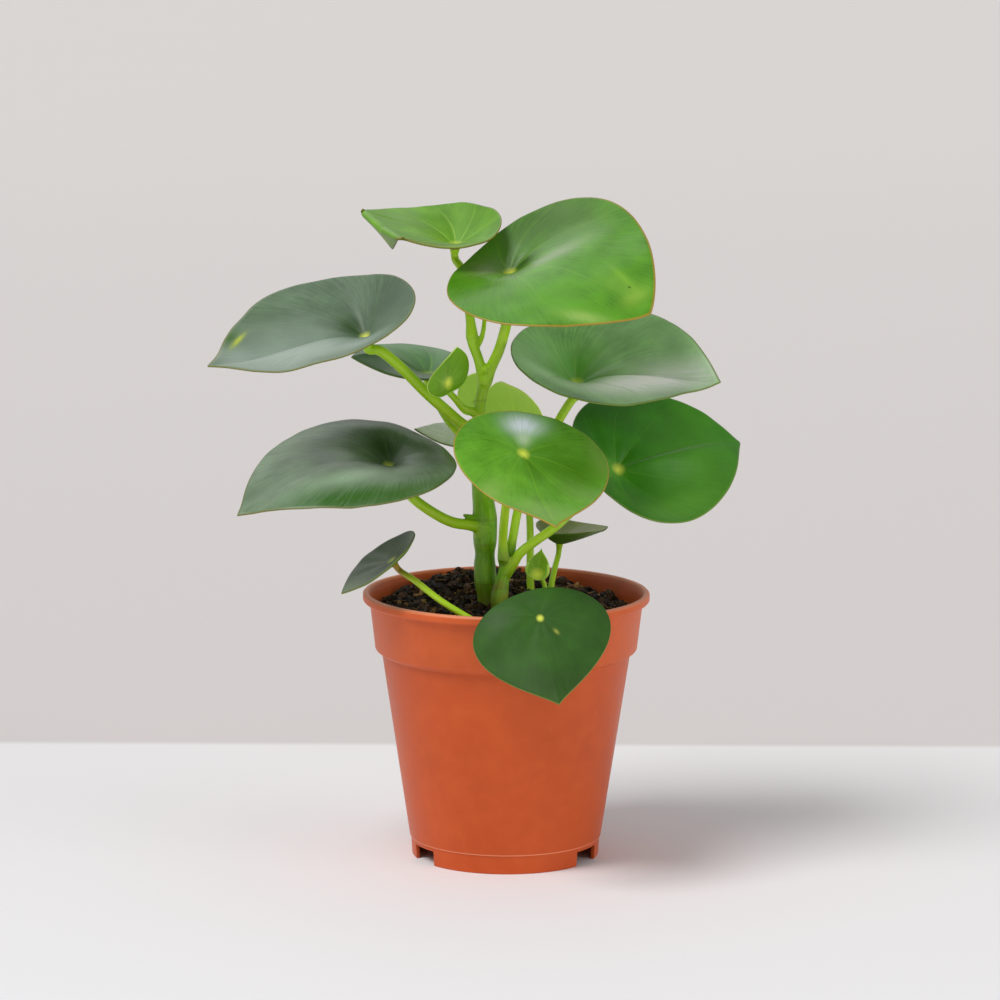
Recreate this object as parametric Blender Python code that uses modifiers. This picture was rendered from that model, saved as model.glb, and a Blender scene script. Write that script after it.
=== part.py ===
"""Potted raindrop peperomia: a bushy young plant in a round plastic nursery pot.

The origin is on the pot's axis, where the pot stands on the ground. +Z is up and -Y is the
front of the plant. Lengths in the tables are millimetres, angles are degrees.
"""

import math

import bmesh
import bpy
from mathutils import Matrix, Vector

MM = 0.001
GAP = 0.3                      # clearance between touching pieces

# The pot: a thin turned shell with a lip, a collar, a tapered body and a notched foot ring.
POT_HEIGHT = 112.0
LIP_RADIUS = 60.0
LIP_HEIGHT = 3.6
COLLAR_TOP_RADIUS = 57.2
COLLAR_FOOT_RADIUS = 54.9
COLLAR_FOOT_Z = 88.5
BODY_TOP_RADIUS = 52.1
BODY_TOP_Z = 86.3
SEAM_RADIUS = 40.3
SEAM_Z = 8.3
FOOT_RADIUS = 39.3
WALL = 1.2
FLOOR_Z = 9.0                  # upper face of the raised floor
FLOOR_RADIUS = 38.3
FLOOR_FILLET = 0.8
FOOT_INNER_RADIUS = 37.8
PAD_RADIUS = 12.2              # the middle of the floor dips down and stands on the ground
PAD_SLOPE = 4.2                # width of the sloped ring round that dip
PAD_TOP_Z = 1.3
NOTCH_WIDTH = 15.0
NOTCH_HEIGHT = 6.3
NOTCH_ANGLES = (-30.0, 90.0, 210.0)
DRAIN_RADIUS = 3.5
DRAIN_CIRCLE = 27.0
DRAIN_COUNT = 6
POT_STEPS = 48

# The soil: fills the pot to a few millimetres below the lip, with a low mound round the
# stems and a heap behind them that reaches the lip.
SOIL_EDGE_Z = 103.0
SOIL_MOUND = 2.2
SOIL_HEAP = 9.0
SOIL_HEAP_PLACE = (-8.0, 37.0)
SOIL_HEAP_SPREAD = (26.0, 16.0)
SOIL_CLEARANCE = 0.4
SOIL_RINGS = (0.0, 8.0, 16.0, 24.0, 32.0, 40.0, 47.0, 52.0)
SOIL_EDGE_DROP = 1.5           # how far the surface turns down at the wall

# A blade is a shield-shaped disc carried near its middle by the stalk.
BLADE_THICKNESS = 1.2
EYE_FLAT = 1.5                 # radius of the flat spot where the stalk meets the blade
FUNNEL_REACH = 14.0            # how far from the eye the hollow opens out
CURL_RADIUS = 3.0
LARGE_BLADE = (28, (0.12, 0.32, 0.56, 0.8, 1.0))
CURLED_BLADE = (40, (0.15, 0.36, 0.5, 0.57, 0.62, 0.68, 0.78, 0.88, 1.0))
SMALL_BLADE = (22, (0.2, 0.6, 1.0))

# eye: where the stalk meets the blade. heading: compass direction of the tip, 0 is +X.
# pitch: tip up. roll: left half up. base: share of the length behind the eye.
# fullness: 1 for a drop shape, less for a rounder one. funnel: depth of the hollow at the
# eye. rim, sides, droop, lift, twist: how far the margin, the two sides, the tip, the base
# end and the corners leave the flat. pinch: how far the sides fold up towards the tip.
# point: length of the drawn-out tip. curl: angle by which the tip is bent under, from the
# share curl_from of the way to the tip.
LEAVES = {
    "top_left": dict(
        eye=(-22, 8, 256), heading=205, pitch=-6.5, roll=-10.5, length=70.5, width=58,
        base=0.24, fullness=0.85, funnel=12, rim=5.5, sides=-6, droop=-6, lift=1, twist=-1.5,
        pinch=2, point=1, skew=-2, curl=109, curl_from=0.57),
    "top_right": dict(
        eye=(1, -12, 247), heading=-37, pitch=-12.5, roll=26.5, length=91, width=91.5,
        base=0.18, fullness=0.66, funnel=15, rim=-5, sides=4.5, droop=2.5, lift=1, twist=1.5,
        pinch=5.5, point=0, skew=-2),
    "left_upper": dict(
        eye=(-58.5, -14, 220.5), heading=208, pitch=-20.5, roll=-8.5, length=87.5, width=78,
        base=0.25, fullness=0.69, funnel=11.5, rim=3.5, sides=2, droop=-3, lift=5.5,
        twist=-7, pinch=-3.5, point=4.5, skew=0),
    "left_lower": dict(
        eye=(-49, -14, 166.5), heading=208.5, pitch=-12, roll=-13, length=93.5, width=83,
        base=0.27, fullness=0.72, funnel=13, rim=-5.5, sides=-0.5, droop=7.5, lift=-2.5,
        twist=-1.5, pinch=9.5, point=2.5, skew=0),
    "right_upper": dict(
        eye=(29, 0, 199.5), heading=-16, pitch=-9.5, roll=19, length=87, width=79.5,
        base=0.31, fullness=0.94, funnel=13, rim=3.5, sides=2, droop=2, lift=3, twist=12.5,
        pinch=8.5, point=0.5, skew=1),
    "right_lower": dict(
        eye=(46.5, 8, 162.5), heading=34.5, pitch=6, roll=43, length=82, width=69, base=0.23,
        fullness=0.59, funnel=5, rim=0, sides=-0.5, droop=4.5, lift=2, twist=3, pinch=6,
        point=2, skew=-0.5),
    "centre": dict(
        eye=(6.5, -32, 175), heading=-76, pitch=-41.5, roll=-11, length=65.5, width=68,
        base=0.26, fullness=0.78, funnel=6, rim=3.5, sides=-3.5, droop=-6, lift=-0.5,
        twist=3.5, point=2.5, skew=-1.5),
    "hanging_front": dict(
        eye=(13.5, -70, 114), heading=-65, pitch=-54, roll=15, length=51, width=58,
        base=0.27, fullness=0.89, funnel=1.5, rim=-2.5, sides=-6, droop=-1.5, lift=0,
        twist=1, point=1, skew=-2),
    "small_left": dict(
        eye=(-47, -34, 131), heading=214, pitch=-35, roll=11.5, length=39.5, width=33,
        base=0.34, fullness=0.93, funnel=2, rim=1, sides=2, droop=-2, lift=2.5, twist=-2.5,
        point=0, skew=-0.5, small=True),
    "back_left": dict(
        eye=(-33.5, 28, 198), heading=194, pitch=2.5, roll=-11, length=48, width=45,
        base=0.29, fullness=0.79, funnel=7, rim=2.5, sides=-0.5, droop=-0.5, lift=2.5,
        twist=-3.5, point=0, skew=0.5, small=True),
    "young_cupped": dict(
        eye=(-24.5, -12, 201.5), heading=88, pitch=100, roll=56.5, length=20, width=27.5,
        base=0.22, fullness=0.96, funnel=4, rim=2, sides=-3.5, droop=1, lift=-1, twist=-1.5,
        point=0, skew=-2, small=True),
    "behind_stem": dict(
        eye=(-13.5, 26, 189.5), heading=-92, pitch=44, roll=22, length=32, width=15, base=0.29,
        fullness=0.89, funnel=2, rim=1, sides=-1, droop=5.5, lift=-2.5, twist=-2.5, point=0.5,
        skew=1, small=True),
    "behind_centre": dict(
        eye=(3.5, 26, 180.5), heading=-100, pitch=57, roll=-4, length=44, width=27.5, base=0.29,
        fullness=0.95, funnel=1.5, rim=-2.5, sides=-0.5, droop=10.5, lift=-3, twist=-3,
        point=1.5, skew=-0.5, small=True),
    "small_right": dict(
        eye=(22.5, 22, 129.5), heading=32, pitch=-3.5, roll=3, length=32.5, width=30.5,
        base=0.26, fullness=0.95, funnel=5.5, rim=2.5, sides=1, droop=1, lift=0, twist=0,
        point=0, skew=0, small=True),
    "back_middle": dict(
        eye=(-19.5, 24, 173), heading=213, pitch=-7, roll=-10, length=32.5, width=29, base=0.31,
        fullness=0.97, funnel=3.5, rim=1.5, sides=-1, droop=-5, lift=1.5, twist=-3, point=0.5,
        skew=0, small=True),
    "young_top": dict(
        eye=(-10.5, 10, 235), heading=60, pitch=40, roll=10, length=20, width=16, base=0.28,
        fullness=0.95, funnel=2, rim=1, sides=3, droop=0, lift=0, twist=0, point=1, skew=0,
        small=True),
    "sprout": dict(
        eye=(13, 3, 118.5), heading=60, pitch=72, roll=20, length=13, width=10, base=0.2,
        fullness=0.95, funnel=1, rim=0, sides=2.5, droop=0, lift=0, twist=0, point=1, skew=0,
        small=True),
}

# The stems: points along the axis with the radius at each.
MAIN_STEM = [
    (-6.5, -4, 78, 3.9), (-7, -4, 97, 4.2), (-8, -4, 109, 4.3), (-9, -3, 121.5, 4.6),
    (-9, -3, 130, 4.9), (-9, -2.5, 139, 5.1), (-9.3, -2, 146, 4.8), (-10, -1, 153, 4.5),
    (-11, 0, 163.5, 3.9), (-11.5, 1, 173.5, 3.4), (-11.5, 1.5, 179, 3.3),
    (-11.5, 2, 185.5, 2.6), (-11, 2, 192.5, 2.2), (-9.7, 1, 199.5, 2.6), (-10.5, 0.5, 204, 2.4),
    (-12, -0.5, 210, 2.1), (-14, -1, 215.5, 2.2), (-14.5, -1, 218.5, 2.5),
]
SIDE_SHOOT = [
    (-3.5, -13.2, 86, 2.6), (-3.5, -13.2, 99, 2.9), (-3, -12.6, 111, 3.4),
    (-1.5, -10.6, 119, 2.9), (0, -8.8, 124.5, 3.1), (0, -8.7, 126.7, 3.4),
]

# The stalks: points from the foot to just short of the blade, with the radius at foot and
# tip. from_stem names the stem that a stalk grows out of; the others grow from the soil or
# stand end to end on a stem.
STALKS = {
    "top_left": dict(
        radii=(2.0, 1.6), points=[(-14.6, -1, 218.8), (-15.5, 0, 227), (-17, 2, 236.5),
                                  (-19, 4.5, 246.5)]),
    "top_right": dict(
        radii=(2.4, 2.0), from_stem="main_stem",
        points=[(-9.7, 1, 199.5), (-6.5, -1, 207), (-3.5, -4, 214), (-1, -7, 223),
                (1, -10, 233.5), (1.5, -12, 241)]),
    "left_upper": dict(
        radii=(2.5, 2.1), from_stem="main_stem",
        points=[(-11.5, 1, 178), (-18.5, -4, 183), (-25.5, -7, 189.5), (-34, -9.5, 197.5),
                (-44, -12, 208), (-52.5, -13.5, 215)]),
    "left_lower": dict(
        radii=(2.4, 2.0), from_stem="main_stem",
        points=[(-9, -2.5, 139), (-15, -6, 141), (-22.5, -8, 142.5), (-30, -10, 146.5),
                (-38, -12, 152.5), (-45, -13.5, 160)]),
    "right_upper": dict(
        radii=(1.9, 1.9),
        points=[(1.3, -6.4, 127.0), (1.5, -6.5, 129.5), (2.8, -6.5, 137), (4.5, -5.5, 146.5),
                (7, -4, 155.5), (14, -2, 170), (21, -1, 183.5), (26.5, -0.5, 192.5)]),
    "right_lower": dict(
        radii=(2.1, 1.9), from_stem="side_shoot",
        points=[(-1, -10, 120.5), (2.7, -11, 125.5), (6, -11, 130.5), (13, -8.5, 135.5),
                (20, -5, 140), (29.5, 0, 148), (40, 4.5, 156.5)]),
    "centre": dict(
        radii=(1.9, 1.8),
        points=[(-1.2, -10.8, 127.0), (-1.4, -11.0, 129.5), (-1.5, -12, 136), (-1, -14.5, 144.5),
                (0, -18, 153.5), (2, -24, 163), (4.5, -29, 170)]),
    "hanging_front": dict(
        radii=(1.6, 1.5), lead=1.5,
        points=[(10, -40, 90), (10, -40.5, 103), (11.5, -45, 112.5), (13, -51.5, 117.5),
                (13.5, -58, 118), (13.5, -63.5, 114.8)]),
    "small_left": dict(
        radii=(1.6, 1.3),
        points=[(-4, -46, 90), (-5, -46.5, 100), (-9.5, -46.8, 106), (-16.5, -46, 110),
                (-27, -43, 116), (-37.5, -39, 123.5)]),
    "back_left": dict(
        radii=(1.5, 1.3), from_stem="main_stem",
        points=[(-11.5, 1, 172.5), (-16, 5, 174.5), (-21, 9, 178), (-26.5, 15, 184),
                (-30.5, 22, 190.5)]),
    "young_cupped": dict(
        radii=(1.7, 1.3), from_stem="main_stem",
        points=[(-11.4, 2, 186), (-15, 0, 188), (-18.5, -4, 190), (-22, -9, 195)]),
    "behind_stem": dict(
        radii=(1.3, 1.1), from_stem="main_stem",
        points=[(-11.5, 1.5, 176), (-13, 8, 177.5), (-14, 15, 181)]),
    "behind_centre": dict(
        radii=(1.7, 1.4),
        points=[(10.5, 9.5, 88), (10.5, 10, 106.5), (10, 12, 116.5), (10, 14, 131.5),
                (9.5, 16, 144), (8, 17.5, 156), (5, 18.5, 168)]),
    "small_right": dict(
        radii=(1.5, 1.2),
        points=[(17, 6, 90), (17.8, 7.5, 104), (19, 11.5, 112.5), (20.5, 16.5, 119)]),
    "back_middle": dict(
        radii=(1.4, 1.2), from_stem="main_stem",
        points=[(-11, 0, 162), (-12, 8, 164), (-14.5, 16, 166.5)]),
    "young_top": dict(
        radii=(1.1, 0.9), from_stem="main_stem",
        points=[(-13.8, -1, 213.5), (-10.8, 0.5, 218.5), (-9.6, 3, 224.5), (-9.5, 6.5, 229.5)]),
    "sprout": dict(
        radii=(1.2, 1.0), lead=1.5,
        points=[(17, -1, 92), (17, 1, 104), (16.5, 4, 111), (15.5, 6, 115)]),
}


def clear_scene():
    for obj in list(bpy.data.objects):
        bpy.data.objects.remove(obj, do_unlink=True)


def make_collection(name):
    collection = bpy.data.collections.new(name)
    bpy.context.scene.collection.children.link(collection)
    return collection


def make_material(name, colour, roughness):
    material = bpy.data.materials.new(name)
    material.use_nodes = True
    shader = material.node_tree.nodes["Principled BSDF"]
    shader.inputs["Base Color"].default_value = (*colour, 1.0)
    shader.inputs["Roughness"].default_value = roughness
    shader.inputs["Metallic"].default_value = 0.0
    material.diffuse_color = (*colour, 1.0)
    return material


def new_object(name, mesh, collection):
    obj = bpy.data.objects.new(name, mesh)
    collection.objects.link(obj)
    return obj


def applied_mesh(obj):
    """The object's mesh with its modifiers applied, in the object's own space."""
    graph = bpy.context.evaluated_depsgraph_get()
    return bpy.data.meshes.new_from_object(obj.evaluated_get(graph))


def apply_modifiers(obj):
    mesh = applied_mesh(obj)
    obj.modifiers.clear()
    obj.data = mesh


def add_boolean(obj, cutter, operation="DIFFERENCE"):
    modifier = obj.modifiers.new("cut", "BOOLEAN")
    modifier.operation = operation
    modifier.solver = "EXACT"
    modifier.object = cutter


def turned(name, profile, steps, collection):
    """A solid of revolution; the profile runs down its outer side."""
    mesh = bpy.data.meshes.new(name)
    points = [(r * MM, 0.0, z * MM) for r, z in profile]
    mesh.from_pydata(points, [(i, i + 1) for i in range(len(points) - 1)], [])
    obj = new_object(name, mesh, collection)
    screw = obj.modifiers.new("turn", "SCREW")
    screw.axis = "Z"
    screw.steps = steps
    screw.render_steps = steps
    screw.use_merge_vertices = True
    screw.merge_threshold = 0.00001
    apply_modifiers(obj)
    return obj


def smooth_route(points, step):
    """Points about a step apart on a smooth curve through the given points."""
    knots = [Vector(p) for p in points]
    first = knots[0] * 2 - knots[1]
    last = knots[-1] * 2 - knots[-2]
    knots = [first] + knots + [last]
    route = []
    for a, b, c, d in zip(knots, knots[1:], knots[2:], knots[3:]):
        count = max(1, round((c - b).length / step))
        for i in range(count):
            t = i / count
            route.append(0.5 * (2 * b + (c - a) * t + (2 * a - 5 * b + 4 * c - d) * t ** 2
                                + (3 * b - a - 3 * c + d) * t ** 3))
    route.append(knots[-2])
    return route


def tube(name, route, radii, sides_setting, collection):
    """A round tube along the route with filled, welded ends."""
    curve = bpy.data.curves.new(name, "CURVE")
    curve.dimensions = "3D"
    curve.bevel_depth = MM
    curve.bevel_resolution = sides_setting
    curve.use_fill_caps = True
    spline = curve.splines.new("POLY")
    spline.points.add(len(route) - 1)
    for point, place, radius in zip(spline.points, route, radii):
        point.co = (*(place * MM), 1.0)
        point.radius = radius
    guide = new_object(name + "_curve", curve, collection)
    mesh = applied_mesh(guide)
    bpy.data.objects.remove(guide, do_unlink=True)
    shape = bmesh.new()
    shape.from_mesh(mesh)
    bmesh.ops.remove_doubles(shape, verts=shape.verts, dist=0.00001)
    bmesh.ops.recalc_face_normals(shape, faces=shape.faces)
    shape.to_mesh(mesh)
    shape.free()
    return new_object(name, mesh, collection)


def leaf_turn(leaf):
    """Turns +X to the tip, +Y to the left side and +Z to the upper face's side."""
    return (Matrix.Rotation(math.radians(leaf["heading"]), 4, "Z")
            @ Matrix.Rotation(math.radians(-leaf["pitch"]), 4, "Y")
            @ Matrix.Rotation(math.radians(leaf["roll"]), 4, "X"))


def outline(leaf, angle):
    """The margin of the flat blade at an angle that is 0 at the tip."""
    length = leaf["length"]
    power = leaf["fullness"]
    widest = 2 * ((power + 1) / (power + 2)) ** ((power + 1) / 2) / math.sqrt(power + 2)
    along = length * (0.5 * math.cos(angle) + 0.5 - leaf["base"])
    from_tip = min(angle, math.tau - angle)
    along += leaf["point"] * math.exp(-(from_tip / 0.3) ** 2)
    across = math.sin(angle) * abs(math.sin(angle / 2)) ** power * leaf["width"] / 2 / widest
    across += leaf["skew"] * math.cos(angle)
    return along, across


def rise(leaf, along, across, share):
    """How far the upper face stands above the plane through the eye."""
    tip_length = leaf["length"] * (1 - leaf["base"])
    base_length = leaf["length"] * leaf["base"]
    half_width = leaf["width"] / 2
    spread = math.hypot(along, across, EYE_FLAT) - EYE_FLAT
    height = leaf["funnel"] * (1 - math.exp(-spread / FUNNEL_REACH))
    height += leaf["rim"] * share ** 2
    height += leaf["sides"] * (across / half_width) ** 2
    height -= leaf["droop"] * max(0.0, (along / tip_length - 0.3) / 0.7) ** 2
    height += leaf["lift"] * max(0.0, -along / base_length) ** 2
    height += leaf["twist"] * along * across / (tip_length * half_width)
    toward_tip = max(0.0, along / tip_length - 0.5) / 0.5
    height += leaf.get("pinch", 0.0) * abs(across) / half_width * toward_tip
    return height


def bend_start(leaf):
    return leaf.get("curl_from", 1.0) * leaf["length"] * (1 - leaf["base"])


def ring_share(leaf, share, edge_along):
    """A curled blade's rings are moved so that one of them lies where the bend starts."""
    start = bend_start(leaf)
    if "curl" not in leaf or edge_along < 1.03 * start:
        return share
    bend = start / edge_along
    if share <= leaf["curl_from"]:
        return share * bend / leaf["curl_from"]
    return 1 - (1 - share) * (1 - bend) / (1 - leaf["curl_from"])


def bend_tip(leaf, along, height):
    """Turn the end of the blade down round a small bend and straight on."""
    start = bend_start(leaf)
    angle = math.radians(leaf.get("curl", 0.0))
    past = along - start
    if angle == 0.0 or past <= 0.0:
        return along, height
    turned_by = min(past / CURL_RADIUS, angle)
    straight = max(0.0, past - CURL_RADIUS * angle)
    along = start + CURL_RADIUS * math.sin(turned_by) + straight * math.cos(angle)
    height -= CURL_RADIUS * (1 - math.cos(turned_by)) + straight * math.sin(angle)
    return along, height


def make_blade(name, leaf, collection):
    """A flat round grid, bent to the leaf's shape, thickened downwards and set on its eye."""
    steps, shares = SMALL_BLADE if leaf.get("small") else LARGE_BLADE
    if "curl" in leaf:
        steps, shares = CURLED_BLADE
    grid = turned(name, [(0.0, 0.0)] + [(share, 0.0) for share in shares], steps, collection)
    for vertex in grid.data.vertices:
        x, y = vertex.co.x / MM, vertex.co.y / MM
        share = math.hypot(x, y)
        turn = math.atan2(y, x) % math.tau
        angle = turn - 0.5 * math.sin(turn)
        along, across = outline(leaf, angle)
        share = ring_share(leaf, share, along)
        along, across = along * share, across * share
        height = rise(leaf, along, across, share)
        along, height = bend_tip(leaf, along, height)
        vertex.co = Vector((along, across, height)) * MM
    shape = bmesh.new()
    shape.from_mesh(grid.data)
    bmesh.ops.triangulate(shape, faces=shape.faces)
    if sum(face.normal.z for face in shape.faces) < 0:
        bmesh.ops.reverse_faces(shape, faces=shape.faces)
    shape.to_mesh(grid.data)
    shape.free()
    solidify = grid.modifiers.new("thickness", "SOLIDIFY")
    solidify.thickness = BLADE_THICKNESS * MM
    solidify.offset = -1.0
    apply_modifiers(grid)
    grid.matrix_world = Matrix.Translation(Vector(leaf["eye"]) * MM) @ leaf_turn(leaf)
    return grid


def make_stalk(name, stalk, leaf, collection):
    """A stalk that ends on a flat just under the blade's eye."""
    up = leaf_turn(leaf).to_3x3().col[2].copy()
    eye = Vector(leaf["eye"])
    lead = stalk.get("lead", 4.0)
    under = BLADE_THICKNESS + GAP
    route = smooth_route(stalk["points"] + [eye - up * (under + lead)], 5.0)
    route.append(eye - up * under)
    foot, top = stalk["radii"]
    last = len(route) - 1
    radii = [foot + (top - foot) * i / last for i in range(last + 1)]
    return tube(name, route, radii, 2, collection)


def make_stem(name, nodes, collection):
    route = [Vector(node[:3]) for node in nodes]
    return tube(name, route, [node[3] for node in nodes], 4, collection)


def make_clearance(name, route, radii, sides_setting, collection):
    """The tube's space: wider by the gap and a little longer at both ends."""
    start = route[0] + (route[0] - route[1]).normalized() * GAP
    end = route[-1] + (route[-1] - route[-2]).normalized() * GAP
    route = [start] + route[1:-1] + [end]
    space = tube(name, route, [radius + GAP for radius in radii], sides_setting, collection)
    space.hide_render = True
    space.display_type = "WIRE"
    return space


def make_pot(collection, cutters):
    profile = [
        (0.0, PAD_TOP_Z), (PAD_RADIUS - 0.8, PAD_TOP_Z),
        (PAD_RADIUS + PAD_SLOPE - WALL, FLOOR_Z), (FLOOR_RADIUS, FLOOR_Z),
        (FLOOR_RADIUS + FLOOR_FILLET, FLOOR_Z + FLOOR_FILLET),
        (BODY_TOP_RADIUS - WALL, BODY_TOP_Z - 0.6), (COLLAR_FOOT_RADIUS - WALL, COLLAR_FOOT_Z),
        (COLLAR_TOP_RADIUS - WALL, POT_HEIGHT - LIP_HEIGHT),
        (LIP_RADIUS - 2.7, POT_HEIGHT - 0.6), (LIP_RADIUS - 2.1, POT_HEIGHT),
        (LIP_RADIUS - 0.7, POT_HEIGHT), (LIP_RADIUS, POT_HEIGHT - 0.7),
        (LIP_RADIUS, POT_HEIGHT - LIP_HEIGHT + 0.6), (LIP_RADIUS - 0.5, POT_HEIGHT - LIP_HEIGHT),
        (COLLAR_TOP_RADIUS, POT_HEIGHT - LIP_HEIGHT - 0.2),
        (COLLAR_FOOT_RADIUS, COLLAR_FOOT_Z), (COLLAR_FOOT_RADIUS - 0.3, COLLAR_FOOT_Z - 0.5),
        (BODY_TOP_RADIUS, BODY_TOP_Z), (SEAM_RADIUS, SEAM_Z), (SEAM_RADIUS - 0.1, SEAM_Z - 0.3),
        (SEAM_RADIUS - 0.5, SEAM_Z - 0.4), (FOOT_RADIUS, 0.4), (FOOT_RADIUS - 0.3, 0.0),
        (FOOT_INNER_RADIUS, 0.0), (FOOT_INNER_RADIUS + 0.4, FLOOR_Z - WALL - 0.3),
        (FOOT_INNER_RADIUS, FLOOR_Z - WALL), (PAD_RADIUS + PAD_SLOPE, FLOOR_Z - WALL),
        (PAD_RADIUS, 0.0), (0.0, 0.0),
    ]
    pot = turned("pot", profile, POT_STEPS, collection)
    for number, angle in enumerate(NOTCH_ANGLES):
        bpy.ops.mesh.primitive_cube_add(size=1.0)
        cutter = bpy.context.object
        cutter.name = f"notch_{number}"
        turn = math.radians(angle)
        cutter.data.transform(Matrix.Diagonal(
            (10 * MM, NOTCH_WIDTH * MM, (NOTCH_HEIGHT + 1) * MM, 1.0)))
        cutter.rotation_euler.z = turn
        middle = FOOT_RADIUS - 0.5
        cutter.location = Vector((middle * math.cos(turn), middle * math.sin(turn),
                                  (NOTCH_HEIGHT - 1) / 2)) * MM
        cutters.append(cutter)
        add_boolean(pot, cutter)
    for number in range(DRAIN_COUNT):
        turn = math.tau * (number + 0.5) / DRAIN_COUNT
        bpy.ops.mesh.primitive_cylinder_add(
            vertices=16, radius=DRAIN_RADIUS * MM, depth=6 * MM,
            location=Vector((DRAIN_CIRCLE * math.cos(turn), DRAIN_CIRCLE * math.sin(turn),
                             FLOOR_Z - WALL / 2)) * MM)
        cutter = bpy.context.object
        cutter.name = f"drain_{number}"
        cutters.append(cutter)
        add_boolean(pot, cutter)
    return pot


def soil_height(x, y):
    """The lumpy surface of the soil, in millimetres."""
    mound = SOIL_MOUND * math.exp(-math.hypot(x, y) ** 2 / (2 * 24 ** 2))
    beside = (x - SOIL_HEAP_PLACE[0]) / SOIL_HEAP_SPREAD[0]
    behind = (y - SOIL_HEAP_PLACE[1]) / SOIL_HEAP_SPREAD[1]
    heap = SOIL_HEAP * math.exp(-math.hypot(beside, behind) ** 2 / 2)
    lumps = 0.8 * math.sin(0.32 * x + 1.1) * math.cos(0.29 * y) + 0.5 * math.sin(0.6 * x - 0.5 * y)
    return SOIL_EDGE_Z + mound + heap + lumps


def make_soil(collection):
    edge = COLLAR_TOP_RADIUS - WALL - SOIL_CLEARANCE
    slope = (COLLAR_TOP_RADIUS - COLLAR_FOOT_RADIUS) / (POT_HEIGHT - COLLAR_FOOT_Z - LIP_HEIGHT)
    edge_z = SOIL_EDGE_Z - SOIL_EDGE_DROP
    edge_radius = edge - slope * (POT_HEIGHT - LIP_HEIGHT - edge_z) - 0.2
    profile = [(ring, SOIL_EDGE_Z) for ring in SOIL_RINGS]
    profile += [
        (edge_radius, edge_z),
        (COLLAR_FOOT_RADIUS - WALL - SOIL_CLEARANCE, COLLAR_FOOT_Z + 0.2),
        (BODY_TOP_RADIUS - WALL - SOIL_CLEARANCE, BODY_TOP_Z - 0.4),
        (FLOOR_RADIUS + FLOOR_FILLET - SOIL_CLEARANCE, FLOOR_Z + 1.2),
        (FLOOR_RADIUS - 0.3, FLOOR_Z + SOIL_CLEARANCE),
        (PAD_RADIUS + PAD_SLOPE - 1.7, FLOOR_Z + SOIL_CLEARANCE),
        (PAD_RADIUS - 1.3, PAD_TOP_Z + SOIL_CLEARANCE), (0.0, PAD_TOP_Z + SOIL_CLEARANCE),
    ]
    soil = turned("soil", profile, POT_STEPS, collection)
    for vertex in soil.data.vertices:
        if vertex.co.z > (SOIL_EDGE_Z - SOIL_EDGE_DROP / 2) * MM:
            vertex.co.z = soil_height(vertex.co.x / MM, vertex.co.y / MM) * MM
    return soil


def main():
    clear_scene()
    plant = make_collection("potted_raindrop_peperomia")
    helpers = make_collection("cutters")

    terracotta = make_material("terracotta_plastic", (0.50, 0.095, 0.032), 0.38)
    peat = make_material("dark_peat", (0.022, 0.014, 0.010), 0.95)
    stem_green = make_material("stem_green", (0.12, 0.25, 0.02), 0.42)
    stalk_green = make_material("stalk_green", (0.27, 0.42, 0.03), 0.40)
    leaf_dark = make_material("leaf_dark_green", (0.035, 0.115, 0.03), 0.35)
    leaf_bright = make_material("leaf_bright_green", (0.10, 0.30, 0.02), 0.33)

    cutters = []
    pot = make_pot(plant, cutters)
    soil = make_soil(plant)
    main_stem = make_stem("main_stem", MAIN_STEM, plant)
    side_shoot = make_stem("side_shoot", SIDE_SHOOT, plant)

    spaces = {}
    for name, nodes in (("main_stem", MAIN_STEM), ("side_shoot", SIDE_SHOOT)):
        route = [Vector(node[:3]) for node in nodes]
        radii = [node[3] for node in nodes]
        spaces[name] = make_clearance(name + "_space", route, radii, 4, helpers)
    in_soil = list(spaces.values())

    bright = {"top_left", "top_right", "centre", "young_cupped", "behind_stem",
              "behind_centre", "young_top", "sprout"}
    for name, leaf in LEAVES.items():
        blade = make_blade("blade_" + name, leaf, plant)
        blade.data.materials.append(leaf_bright if name in bright else leaf_dark)
        stalk_design = STALKS[name]
        stalk = make_stalk("stalk_" + name, stalk_design, leaf, plant)
        if "from_stem" in stalk_design:
            add_boolean(stalk, spaces[stalk_design["from_stem"]])
            apply_modifiers(stalk)
        elif stalk_design["points"][0][2] < SOIL_EDGE_Z:
            route = smooth_route(stalk_design["points"][:3], 5.0)
            radii = [stalk_design["radii"][0]] * len(route)
            in_soil.append(make_clearance(stalk.name + "_space", route, radii, 2, helpers))
        stalk.data.materials.clear()
        stalk.data.materials.append(stalk_green)

    for space in in_soil:
        add_boolean(soil, space)
    apply_modifiers(soil)
    apply_modifiers(pot)
    for cutter in cutters:
        bpy.data.objects.remove(cutter, do_unlink=True)

    for obj, material in ((pot, terracotta), (soil, peat), (main_stem, stem_green),
                          (side_shoot, stem_green)):
        obj.data.materials.clear()
        obj.data.materials.append(material)
    for obj in plant.objects:
        obj.data.shade_smooth()
        obj.data.set_sharp_from_angle(angle=math.radians(40))


main()
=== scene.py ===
# %% [markdown]
# # A potted raindrop peperomia
#
# This notebook dresses a small house plant: fleshy, drop-shaped leaves on thin stalks, a stem
# or two, dark soil, and a plain plastic nursery pot. The solids of the plant are already there,
# at their real size, as the frame. They say where each leaf, stalk and rim sits. What is made
# here is the surface: fine leaves with veins and gloss, stems that grow into each other, loose
# soil, a moulded pot, and the light that shows them.
#
# The frame is in metres with +Z up. The pot stands on the ground at the origin and the front of
# the plant looks towards -Y. Plant parts are small, so the tables below are in millimetres.

# %% Load the frame
import math
import random

import bmesh
import bpy
import numpy as np
from mathutils import Matrix, Vector, noise
from mathutils.kdtree import KDTree


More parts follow.
